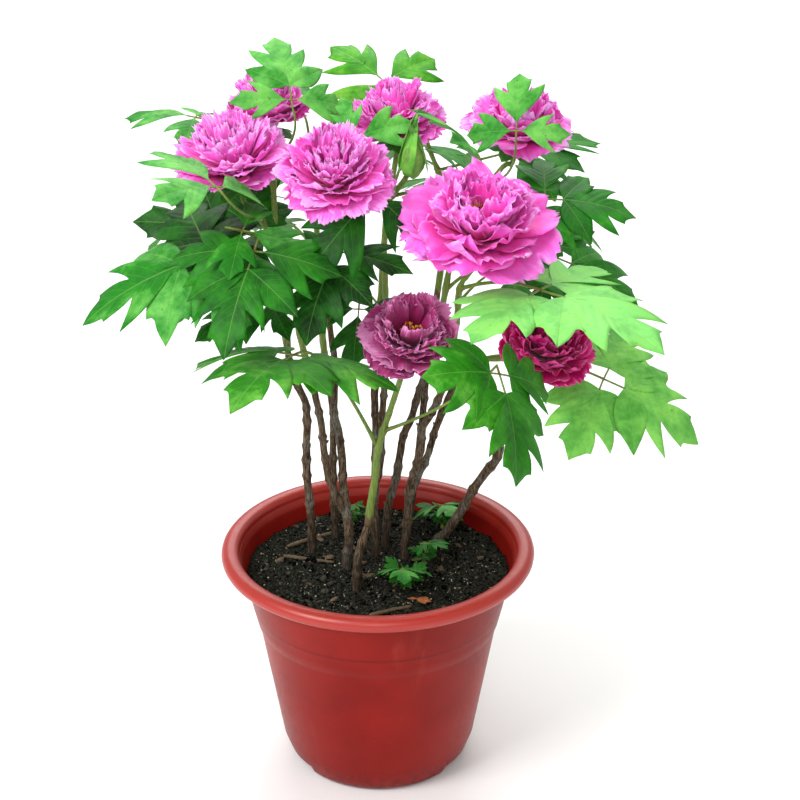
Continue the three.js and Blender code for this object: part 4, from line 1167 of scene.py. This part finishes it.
@dataclass
class LeafyShoot:
    """A green stem with its leaves, and the calyx or bud at its end."""

    number: int
    spec: ShootSpec
    maker: LeafMaker
    stem_end_radius: float = 2.6
    sides: int = 12
    sepal_length: float = 30
    bud_profile: tuple[tuple[float, float], ...] = (
        (-16, 1.5), (-13, 5.4), (-6, 9.8), (1, 11.8), (8, 11.6), (15, 9.2), (21, 5.6), (26, 1.4))
    bud_relief: tuple[float, ...] = (0.1, 0.5, 0.8, 0.9, 0.9, 0.8, 0.6, 0.1)
    bud_sides: int = 20
    bud_bracts: tuple[Point, ...] = (
        (60, 84, 62), (-60, 84, 60), (180, 82, 56), (-105, 80, 58), (10, 78, 48), (-20, 86, 66))

    def stem_points(self) -> list[Array]:
        """The stem's points, from the cane's tip to the seat of its bloom."""
        cane, branch = self.spec.cane
        points = np.array(CANES[cane][branch][1], float)
        direction = unit(points[-1] - points[-2])
        stem = [points[-1] + 0.3 * direction, *(np.array(p, float) for p in self.spec.stem)]
        if self.spec.bloom:
            matrix = BLOOMS[self.spec.bloom].matrix()
            stem += list(placed(matrix, np.array([[0, 0, -24], [0, 0, -3]], float)))
        if self.spec.bud:
            stem.append(np.array(self.spec.bud, float))
        return stem

    def add_bud(self, blades: MeshBuffer, bud: MeshBuffer, rng: Rng) -> None:
        """Adds the closed flower bud and its long narrow bracts."""
        middle = np.array(self.spec.bud, float)
        path = middle + np.array([(0, 0, z) for z, _ in self.bud_profile])
        relief = np.outer(self.bud_relief, np.abs(np.sin(2.5 * angles_round(self.bud_sides))) - 0.6)
        bud.add_tube(path, np.array([r for _, r in self.bud_profile]), self.bud_sides, 0.5, relief)
        for yaw, pitch, length in self.bud_bracts:
            matrix = turned_frame(self.spec.bud, yaw, pitch, 0)
            self.maker.leaflet(blades, matrix, (-10, 0, 12), 0, length, LeafletStyle.BRACT, 0.8, rng)

    def build(self, leaf: Material, under: Material, stem_material: Material,
              skin: Material) -> Thing:
        """Makes the whole shoot as one piece, its stem's foot woody."""
        rng = Seed.SHOOT.draws(self.number)
        blades, stalks = MeshBuffer(), MeshBuffer()
        stem = self.stem_points()
        path = smooth_path(stem, 5)
        reach = lengths_along(path)
        along = reach / reach[-1]
        cane, branch = self.spec.cane
        radii = np.interp(along, [0, 1], [0.92 * CANES[cane][branch][0][1], self.stem_end_radius])
        tone = np.full(len(path), 0.12)
        for leaf_spec in self.spec.leaves:
            bump = np.exp(-((along - leaf_spec.at) * reach[-1] / 5) ** 2)
            radii = radii + 0.8 * bump
            tone = np.maximum(tone, 0.6 * bump)
        swell = 0.25 * ripple(path, 14, rng) + 0.12 * ripple(path, 5, rng)
        stalks.add_tube(path, radii + swell, self.sides, tone)
        woody = np.exp(-reach / 16)
        stalks.warmths[-1] = np.concatenate([np.repeat(woody, self.sides), woody[[0, -1]]])
        for leaf_spec in self.spec.leaves:
            self.maker.leaf(blades, stalks, point_at(stem, leaf_spec.at), leaf_spec, rng)
        if self.spec.bloom:
            matrix = BLOOMS[self.spec.bloom].matrix()
            cup = placed(matrix, np.array([[0, 0, z] for z in (-9, -6, -3.5, -1.2, -0.4)], float))
            stalks.add_tube(cup, np.array([2.6, 4, 6.5, 8.4, 6]), self.sides, 0.1)
            for azimuth in range(0, 360, 72):
                self.maker.leaflet(blades, matrix, (0, 0, -3), azimuth, self.sepal_length, LeafletStyle.SEPAL,
                                   0.5, rng)
        parts = [stalks.build("stalks", [stem_material])]
        if self.spec.bud:
            bud = MeshBuffer()
            blades.warmth = 0.6
            self.add_bud(blades, bud, rng)
            parts.append(bud.build("bud", [skin]))
        parts.insert(0, blades.build("blades", [leaf, under], thickness=LEAF_THICKNESS))
        return finish_piece(join(f"leafy_shoot_{self.number}", parts), "leaf", f"shoot_{self.number}")


def soil_height(x: Array | float, y: Array | float) -> Array | float:
    """The height of the soil's surface, mounded towards the stems."""
    mound = SOIL_MOUND * (1 - (x * x + y * y) / SOIL_RADIUS ** 2)
    return SOIL_LEVEL + mound + 0.8 * np.sin(np.asarray(x) / 17) * np.cos(np.asarray(y) / 13)


@dataclass
class WoodyCane:
    """A cane with its forks: swollen nodes, knobbly bark and buds."""

    number: int
    foot_depth: float = 60
    sides: int = 16
    slimness: float = 0.86
    spacing: float = 2.4
    green_from: float = 380
    green_over: float = 110
    nub_leans: tuple[Point, ...] = ((0.25, -0.1, 1), (-0.5, 0.2, 1), (0.1, 0.5, 0.8))

    def branch(self, wood: MeshBuffer, radii: tuple[float, float], points: list[Point], is_trunk: bool,
               rng: Rng) -> None:
        """Adds one branch.

        Args:
            wood: Where it goes.
            radii: Its first and last radius.
            points: The points that it grows through.
            is_trunk: Whether it stands in the soil.
            rng: Where its knobs are drawn from.
        """
        given = list(points)
        if is_trunk:
            given.insert(0, (points[0][0], points[0][1], points[0][2] - self.foot_depth))
        path = smooth_path(given, self.spacing)
        along = lengths_along(path)
        length = along[-1]
        radius = self.slimness * np.interp(along, [0, length], radii)
        start = self.foot_depth if is_trunk else 6
        place = start + rng.uniform(8, 20)
        while place < length - 4:
            radius = radius + rng.uniform(0.5, 1.6) * np.exp(-((along - place) / rng.uniform(2, 4)) ** 2)
            place += rng.uniform(14, 40)
        angles = angles_round(self.sides)
        ring = np.stack([np.cos(angles), np.sin(angles), np.zeros(self.sides)], -1) * 5
        climb = np.stack([np.zeros_like(along), np.zeros_like(along), along * 0.35], -1)
        flat = (ring[None] + climb[:, None]).reshape(-1, 3)
        relief = 0.3 * ripple(flat, 7, rng) + 0.18 * ripple(flat * [1, 1, 0.2], 2.6, rng)
        ease = np.minimum(1, (length - along) / 4)[:, None] * 0.8 + 0.2
        tone = np.clip((path[:, 2] - self.green_from) / self.green_over, 0, 0.9)
        wood.add_tube(path, radius, self.sides, tone, relief.reshape(len(path), self.sides) * ease)

    def add_bud(self, wood: MeshBuffer, foot: Array, direction: Array, size: float) -> None:
        """Adds a small pointed bud."""
        shares = np.array([0, 0.2, 0.45, 0.7, 0.9, 1.0])
        path = foot + np.outer(shares * 3.2 * size, direction)
        wood.add_tube(path, size * np.array([0.7, 1, 0.95, 0.7, 0.3, 0.06]), 10, 1.0)

    def build(self, bark: Material, green: Material) -> Thing:
        """Makes the cane as one piece; the pruned stub gets green buds at its tip."""
        rng = Seed.CANE.draws(self.number)
        wood, buds = MeshBuffer(), MeshBuffer()
        for index, (radii, points) in enumerate(CANES[self.number]):
            self.branch(wood, radii, points, index == 0, rng)
            middle = np.array(points, float)
            for pick in range(1, len(middle) - 1, 2):
                side = unit(np.array([rng.normal(), rng.normal(), 0.6]))
                foot = middle[pick] + side * radii[0] * 0.7
                self.add_bud(wood, foot, unit(side + [0, 0, 0.8]), rng.uniform(1.1, 1.7))
        if self.number == STUB:
            tip = np.array(CANES[STUB][0][1][-1], float)
            for lean in self.nub_leans:
                self.add_bud(buds, tip + [0, 0, -3.5], unit(np.array(lean, float)), 3.1)
        parts = [wood.build("wood", [bark])]
        if buds.count:
            parts.append(buds.build("buds", [green]))
        return finish_piece(join(f"cane_{self.number}_bark", parts), "cane", f"cane_{self.number}")


@dataclass(frozen=True)
class Litter:
    """Loose bits of one kind on the soil.

    It has the piece's name, how many there are, their least and greatest radius in millimetres, how much
    longer than thick they are, how finely each is divided, and the number that is added to the soil's seed.
    """

    name: str
    count: int
    sizes: tuple[float, float]
    flat: float
    detail: int
    number: int


@dataclass
class SoilBed:
    """Potting soil with a crumbly top, and the loose bits that lie on it."""

    top_radius: float = 142.2
    litter_radius: float = 137
    rings: int = 84
    spokes: int = 220
    under_side: tuple[tuple[float, float], ...] = (
        (134.3, 188), (127.7, 170), (103.7, 30), (94, 16.8), (78, 16.8), (78, 4.4), (0.4, 4.4))

    def surface(self, x: Array, y: Array, rng: Rng) -> Array:
        """The height of the crumbly top, raised a little round each cane."""
        points = np.stack([x, y, np.zeros_like(x)], -1)
        height = soil_height(x, y) + 1.1 * ripple(points, 26, rng) + 1.3 * ripple(points, 9, rng)
        height = height + 1.4 * np.abs(ripple(points, 5.5, rng, 12)) - 1.1
        for branches in CANES.values():
            foot = branches[0][1][0]
            height = height + 2.2 * np.exp(-((x - foot[0]) ** 2 + (y - foot[1]) ** 2) / 13 ** 2)
        return height

    def build_bed(self, material: Material) -> Thing:
        """Makes the bed: its top as fine rings, and its hidden side and floor as plain ones."""
        rng = Seed.SOIL.draws()
        angles = angles_round(self.spokes)
        radii = np.linspace(self.under_side[-1][0], self.top_radius, self.rings)
        x, y = np.outer(radii, np.cos(angles)), np.outer(radii, np.sin(angles))
        z = self.surface(x.ravel(), y.ravel(), rng).reshape(x.shape)
        rows = [np.stack([x, y, z], -1)]
        for radius, level in self.under_side:
            rows.append(np.stack([radius * np.cos(angles), radius * np.sin(angles),
                                  np.full(self.spokes, level)], -1)[None])
        grid = np.concatenate(rows)
        count = len(grid)
        number = np.arange(count * self.spokes).reshape(count, self.spokes)
        after = np.roll(number, -1, axis=1)
        quads = np.stack([number[:-1], number[1:], after[1:], after[:-1]], -1)
        poles = np.array([[0, 0, float(z[0].mean())], [0, 0, self.under_side[-1][1]]])
        top = np.full(self.spokes, count * self.spokes)
        tris = np.vstack([np.stack([top, number[0], after[0]], -1),
                          np.stack([top + 1, after[-1], number[-1]], -1)])
        bed = MeshBuffer()
        points = np.vstack([grid.reshape(-1, 3), poles])
        bed.add(points, quads, tris, points[:, :2] * 0.01, 0.5)
        return finish_piece(bed.build("soil_bed", [material]), "soil", "soil")

    def scatter(self, litter: Litter, material: Material) -> Thing:
        """Scatters copies of one rough crumb over the bed, as one piece.

        Args:
            litter: What the bits are like.
            material: Their material.

        Returns:
            The finished piece.
        """
        deselect()
        bpy.ops.mesh.primitive_ico_sphere_add(subdivisions=litter.detail, radius=1)
        pattern = bpy.context.object
        ball = np.array([v.co for v in pattern.data.vertices])
        tris = np.array([tuple(p.vertices) for p in pattern.data.polygons])
        bpy.data.objects.remove(pattern)
        rng = Seed.SOIL.draws(litter.number)
        heap = MeshBuffer()
        least, greatest = litter.sizes
        for _ in range(litter.count):
            size = least + (greatest - least) * rng.uniform() ** 2.2
            rough = ball * (1 + 0.22 * ripple(ball, 1.6, rng, 5))[:, None]
            thinness = litter.flat ** 0.6
            rough = rough * [litter.flat, rng.uniform(0.7, 1.1), rng.uniform(0.45, 0.8) / thinness] * size
            turn = turned_frame((0, 0, 0), rng.uniform(0, 360), rng.uniform(-20, 20), rng.uniform(-25, 25))
            angle, radius = rng.uniform(0, FULL_TURN), self.litter_radius * math.sqrt(rng.uniform())
            x, y = radius * math.cos(angle), radius * math.sin(angle)
            lift = float(soil_height(x, y)) + 0.35 * size
            heap.add(placed(turn, rough) + [x, y, lift], np.zeros((0, 4), int), tris, ball[:, :2],
                     rng.uniform(0, 1))
        return finish_piece(heap.build(litter.name, [material]), "soil")

    def build_dead_leaf(self, material: Material, maker: LeafMaker) -> Thing:
        """Makes the withered leaf that lies on the soil at the front."""
        rng = Seed.SOIL.draws(40)
        blades = MeshBuffer()
        for hub, yaw, length in (((41, -80, 232), -20, 17), ((43, -81, 232.5), 160, 12)):
            matrix = turned_frame(hub, yaw, 10, 14)
            maker.leaflet(blades, matrix, (0, 0, 0), 0, length, LeafletStyle.TOOTHED, 0.5, rng)
        return finish_piece(blades.build("withered_leaf", [material], thickness=0.5), "twig")


@dataclass
class NurseryPot:
    """The round pot: base, tapering wall, step, collar, rolled rim and thin inner wall."""

    sides: int = 144
    outside: tuple[tuple[float, float], ...] = (
        (88, 0), (92, 0.8), (96, 3.5), (98.4, 8), (100.8, 13), (107, 30), (119, 99), (130.2, 163.5),
        (131.2, 167), (132.6, 169.4), (135, 179), (136.4, 185.8), (137.2, 188.2), (137.9, 191),
        (142.6, 212.5), (147.4, 234.5), (148.6, 239.4), (150.5, 241), (162, 241), (165.2, 241.6),
        (168, 243.8), (169.6, 246.6), (170, 249.4), (169.2, 252.4), (167.2, 255), (164, 256.7),
        (160.5, 257), (156.5, 256.6), (153.6, 255.4), (151.7, 253.2), (150.8, 250.4), (150.2, 247.4))
    inside: tuple[tuple[float, float], ...] = (
        (149.9, 247), (148.6, 243.6), (147.2, 240), (145.6, 234), (143.6, 227), (134.6, 188), (128, 170),
        (104, 30), (87, 4))
    rim_level: float = 240.5
    notch_azimuths: tuple[int, ...] = (-30, 90, 210)
    notch: Point = (13, 82, 13)
    inner_notch: Point = (15.1, 79, 16)
    wedge_reach: float = 135
    drain_azimuths: tuple[int, ...] = (30, 150, 270)
    drain_circle: float = 52
    drain_radius: float = 7
    drain_depth: float = 20

    def turned_solid(self, name: str, profile: list[tuple[float, float]]) -> Thing:
        """A closed solid of revolution: a disc drawn up ring by ring through a profile.

        Args:
            name: The object's name.
            profile: Radius and height of each ring, from the bottom up.

        Returns:
            The solid.
        """
        deselect()
        radius, level = profile[0]
        bpy.ops.mesh.primitive_circle_add(vertices=self.sides, radius=radius * MM, fill_type="NGON",
                                          location=(0, 0, level * MM))
        solid = bpy.context.object
        bpy.ops.object.transform_apply(location=True, rotation=True, scale=True)
        bpy.ops.object.mode_set(mode="EDIT")
        bpy.ops.mesh.select_all(action="SELECT")
        for radius_after, level_after in profile[1:]:
            bpy.ops.mesh.extrude_region_move(
                TRANSFORM_OT_translate={"value": (0, 0, (level_after - level) * MM)})
            factor = radius_after / radius
            bpy.ops.transform.resize(value=(factor, factor, 1), center_override=(0, 0, level_after * MM))
            radius, level = radius_after, level_after
        self.close(solid)
        solid.name = name
        return solid

    def close(self, solid: Thing) -> None:
        """Turns the normals of the solid in edit mode outward and leaves edit mode."""
        bpy.ops.mesh.select_all(action="SELECT")
        bpy.ops.mesh.normals_make_consistent(inside=False)
        bpy.ops.object.mode_set(mode="OBJECT")

    def wedge(self, azimuth: float, half_angle: float, inner: float, top: float) -> Thing:
        """A block that cuts one notch out of the foot.

        Args:
            azimuth: Where its middle is, in degrees.
            half_angle: How far it goes to each side of that, in degrees.
            inner: The radius of its inner face in millimetres.
            top: Its height in millimetres.

        Returns:
            The block.
        """
        steps = np.radians(np.linspace(azimuth - half_angle, azimuth + half_angle, 7))
        flat = [(inner * math.cos(a), inner * math.sin(a)) for a in steps]
        flat += [(self.wedge_reach * math.cos(a), self.wedge_reach * math.sin(a)) for a in steps[::-1]]
        count = len(flat)
        points = [(x * MM, y * MM, z * MM) for z in (-4, top) for x, y in flat]
        faces = [tuple(range(count))[::-1], tuple(range(count, 2 * count))]
        faces += [(i, (i + 1) % count, count + (i + 1) % count, count + i) for i in range(count)]
        mesh = bpy.data.meshes.new("wedge")
        mesh.from_pydata(points, [], faces)
        block = activate(linked("wedge", mesh))
        bpy.ops.object.mode_set(mode="EDIT")
        self.close(block)
        return block

    def cut(self, solid: Thing, cutters: list[Thing]) -> None:
        """Cuts other solids out of one."""
        tool = join("tool", cutters)
        apply_modifier(solid, "BOOLEAN", operation="DIFFERENCE", object=tool, solver="EXACT")
        bpy.data.objects.remove(tool)

    def build(self, skin: Material, rim: Material) -> Thing:
        """Makes the pot as one piece, its rolled rim glossier than the rest."""
        body = self.turned_solid("pot_body", list(self.outside))
        cavity = self.turned_solid("pot_cavity", [*reversed(self.inside), (150.5, 248.4), (150.5, 262)])
        self.cut(cavity, [self.wedge(azimuth, *self.inner_notch) for azimuth in self.notch_azimuths])
        drains = []
        for azimuth in self.drain_azimuths:
            deselect()
            angle, circle = math.radians(azimuth), self.drain_circle * MM
            bpy.ops.mesh.primitive_cylinder_add(
                vertices=24, radius=self.drain_radius * MM, depth=self.drain_depth * MM,
                location=(circle * math.cos(angle), circle * math.sin(angle), 0))
            bpy.ops.object.transform_apply(location=True, rotation=True, scale=True)
            drains.append(bpy.context.object)
        self.cut(body, [*(self.wedge(azimuth, *self.notch) for azimuth in self.notch_azimuths), *drains])
        self.cut(body, [cavity])
        activate(body)
        bpy.ops.object.shade_smooth_by_angle(angle=math.radians(32))
        body.data.materials.clear()
        body.data.materials.append(skin)
        body.data.materials.append(rim)
        for face in body.data.polygons:
            face.material_index = int(face.center.z > self.rim_level * MM)
        body.name = "nursery_pot"
        return finish_piece(body, "pot", "pot")


@dataclass
class Sprout:
    """A young leafy sprout that stands in the soil."""

    number: int
    maker: LeafMaker
    young_turns: tuple[float, ...] = (-120, -70, -30, 35, 80, 130)
    young_scale: float = 0.6

    def build(self, leaf: Material, stem_material: Material) -> Thing:
        """Makes the sprout as one piece."""
        (x, y), spec = SPROUTS[self.number]
        rng = Seed.SPROUT.draws(self.number)
        blades, stalks = MeshBuffer(), MeshBuffer()
        base = float(soil_height(x, y))
        foot = np.array([(x, y, base + z) for z in (-20, -10, 0, 6)], float)
        stalks.add_tube(foot, np.array([2.2, 2.2, 2.1, 1.4]), 8, 0.3)
        root = np.array([x, y, base + 4.0])
        self.maker.leaf(blades, stalks, root, spec, rng)
        reach = 0.45 * (np.array(spec.hub) - root)
        for turn in self.young_turns:
            angle = math.radians(turn)
            side = np.array([reach[0] * math.cos(angle) - reach[1] * math.sin(angle),
                             reach[0] * math.sin(angle) + reach[1] * math.cos(angle), reach[2]])
            hub = tuple(root + side * rng.uniform(0.8, 1.3))
            young = LeafSpec(1, hub, spec.yaw + turn, rng.uniform(15, 60), 0, spec.size * self.young_scale,
                             UPPER, 0.35)
            self.maker.leaf(blades, stalks, np.array([x, y, base + 2.0]), young, rng)
        parts = [blades.build("blades", [leaf], thickness=LEAF_THICKNESS),
                 stalks.build("stalks", [stem_material])]
        return finish_piece(join(f"young_sprout_{self.number}", parts), "sprout", f"sprout_{self.number}")


@dataclass
class Twig:
    """A broken dry twig on the soil."""

    number: int
    sides: int = 12

    def build(self, material: Material) -> Thing:
        """Makes the twig as one piece."""
        start, end, radius = TWIGS[self.number]
        rng = Seed.TWIG.draws(self.number)
        ends = [np.array([x, y, float(soil_height(x, y)) + 0.7 * radius + 0.6]) for x, y in (start, end)]
        middle = (ends[0] + ends[1]) / 2 + [rng.uniform(-1, 1), rng.uniform(-1, 1), 0.4]
        path = smooth_path([ends[0], middle, ends[1]], 1.6)
        share = np.linspace(0, 1, len(path))
        places = np.repeat(path, self.sides, axis=0) + rng.normal(size=(self.sides * len(path), 3))
        relief = 0.22 * ripple(places, 7, rng)
        radii = radius * (1 - 0.3 * share) * np.minimum(1, 0.6 + 6 * np.minimum(share, 1 - share))
        wood = MeshBuffer()
        wood.add_tube(path, radii, self.sides, 0.1, relief.reshape(len(path), self.sides))
        return finish_piece(wood.build(f"dry_twig_{self.number}", [material]), "twig", f"twig_{self.number}")


@dataclass(frozen=True)
class Lamp:
    """One soft light: its place and aim in metres, its power in watts and its width in metres."""

    name: str
    place: Point
    power: float
    size: float
    aim: Point = (0, 0, 0.45)


@dataclass
class Studio:
    """The pale floor, soft lights and camera."""

    camera_place: Point = (0.024, -1.934, 1.3)
    camera_pitch: float = 24.3
    lens: float = 90.72
    sensor: float = 36
    sky: float = 0.62
    floor_shades: tuple[Colour, ...] = ((0.93, 0.93, 0.92), (0.95, 0.95, 0.94))
    lamps: tuple[Lamp, ...] = (
        Lamp("key", (-1.8, -1.5, 2.4), 66, 1.4),
        Lamp("front", (0, -2.4, 1.7), 12, 0.8),
        Lamp("top", (0.2, 0.7, 2.5), 24, 1.6),
        Lamp("back", (0, 4, 3), 110, 3, (0, 4, 0)),
    )

    def build(self) -> None:
        """Makes the stage."""
        deselect()
        bpy.ops.mesh.primitive_plane_add(size=14, location=(0, 2, -0.0005))
        floor = bpy.context.object
        floor.name = "studio_floor"
        sheet = NodeSheet("pale_floor", 0.8)
        grain = sheet.noise(sheet.place(), 3, 2)
        floor.data.materials.append(sheet.finish(sheet.ramp(grain, (0, 1), self.floor_shades)))
        scene = bpy.context.scene
        scene.view_settings.view_transform = "Standard"
        scene.world = bpy.data.worlds.new("studio")
        scene.world.use_nodes = True
        background = scene.world.node_tree.nodes["Background"]
        background.inputs["Color"].default_value = (1, 1, 1, 1)
        background.inputs["Strength"].default_value = self.sky
        for lamp in self.lamps:
            light = bpy.data.lights.new(lamp.name, "AREA")
            light.energy = lamp.power
            light.size = lamp.size
            holder = linked(lamp.name, light)
            holder.location = lamp.place
            way = Vector(lamp.aim) - Vector(lamp.place)
            holder.rotation_euler = way.to_track_quat("-Z", "Y").to_euler()
        camera = linked("camera", bpy.data.cameras.new("camera"))
        camera.data.lens = self.lens
        camera.data.sensor_width = self.sensor
        camera.location = self.camera_place
        camera.rotation_euler = (math.radians(90 - self.camera_pitch), 0, 0)
        scene.camera = camera


def build_pot_and_soil(maker: LeafMaker) -> None:
    """Builds the pot, the soil and all that lies loose on it."""
    NurseryPot().build(PotFinish().build(), PotFinish("terracotta_rim", gloss=0.6).build())
    soil = GritFinish("potting_soil", srgb(2, 3, 2), srgb(84, 84, 74), 1, 480, (0.43, 0.82), 0.05).build()
    perlite = GritFinish("perlite_grains", srgb(104, 98, 84), srgb(206, 200, 184)).build()
    chips = GritFinish("bark_chips", srgb(44, 34, 26), srgb(112, 90, 70)).build()
    straw = GritFinish("straw_bits", srgb(84, 76, 58), srgb(160, 150, 122)).build()
    bed = SoilBed()
    bed.build_bed(soil)
    bed.scatter(Litter("soil_crumbs", 1600, (0.6, 2.4), 1.0, 1, 10), soil)
    bed.scatter(Litter("soil_clods", 80, (2, 4.4), 1.0, 2, 12), soil)
    bed.scatter(Litter("perlite_grains", 520, (0.4, 1.3), 1.0, 1, 20), perlite)
    bed.scatter(Litter("bark_chips", 90, (1.2, 3.6), 1.9, 2, 30), chips)
    bed.scatter(Litter("straw_bits", 240, (0.5, 1.2), 3.6, 1, 35), straw)
    bed.build_dead_leaf(GritFinish("withered", srgb(118, 62, 28), srgb(188, 118, 66), 0.7).build(), maker)


def build_canes_and_shoots(maker: LeafMaker, stem: Material) -> None:
    """Builds the canes and the leafy shoots on them."""
    bark = BarkFinish("cane_bark").build()
    nub = GritFinish("green_bud", srgb(96, 110, 40), srgb(150, 160, 80), 0.6).build()
    skin = GritFinish("bud_skin", srgb(92, 142, 56), srgb(146, 188, 92), 0.55, 120).build()
    leaf = LeafFinish("leaf_upper").build()
    under = LeafFinish("leaf_under", under=True, roughness=0.6).build()
    for number in CANES:
        WoodyCane(number).build(bark, nub)
    for number, spec in SHOOTS.items():
        LeafyShoot(number, spec, maker).build(leaf, under, stem, skin)


def build_flowers() -> None:
    """Builds the petals and stamens of every bloom."""
    finishes = (
        PetalFinish("pink_petal", (srgb(234, 36, 162), srgb(242, 80, 192), srgb(247, 122, 218),
                                   srgb(252, 172, 238))),
        PetalFinish("dusky_petal", (srgb(112, 8, 56), srgb(154, 36, 98), srgb(188, 78, 142),
                                    srgb(216, 138, 190))),
        PetalFinish("deep_petal", (srgb(128, 0, 52), srgb(182, 6, 94), srgb(212, 24, 128),
                                   srgb(228, 84, 164))),
    )
    petals = {slot: finish.build() for slot, finish in zip(("petal", "petal_dusky", "petal_deep"), finishes)}
    anther = GritFinish("anthers", srgb(214, 120, 20), srgb(250, 196, 70), 0.8, 900).build()
    thread = GritFinish("threads", srgb(200, 70, 110), srgb(240, 170, 120), 0.6, 900).build()
    for number, spec in BLOOMS.items():
        flower = Flower(number, spec)
        flower.build_petals(petals[spec.slot])
        flower.build_stamens(anther, thread)


def build_sprouts_and_twigs(maker: LeafMaker, stem: Material) -> None:
    """Builds the sprouts and the broken twigs on the soil."""
    leaf = LeafFinish("sprout_leaf", (srgb(8, 50, 8), srgb(26, 104, 30), srgb(120, 210, 108))).build()
    dry = GritFinish("dry_wood", srgb(92, 76, 58), srgb(178, 158, 130), scale=420).build()
    for number in SPROUTS:
        Sprout(number, maker).build(leaf, stem)
    for number in TWIGS:
        Twig(number).build(dry)


def main() -> None:
    """Builds the studio and the whole object."""
    logging.basicConfig(level=logging.INFO, format="%(name)s: %(message)s", stream=sys.stdout)
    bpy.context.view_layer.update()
    Studio().build()
    maker, stem = LeafMaker(), StemFinish("green_stem").build()
    build_pot_and_soil(maker)
    build_canes_and_shoots(maker, stem)
    build_flowers()
    build_sprouts_and_twigs(maker, stem)


if __name__ == "__main__":
    main()
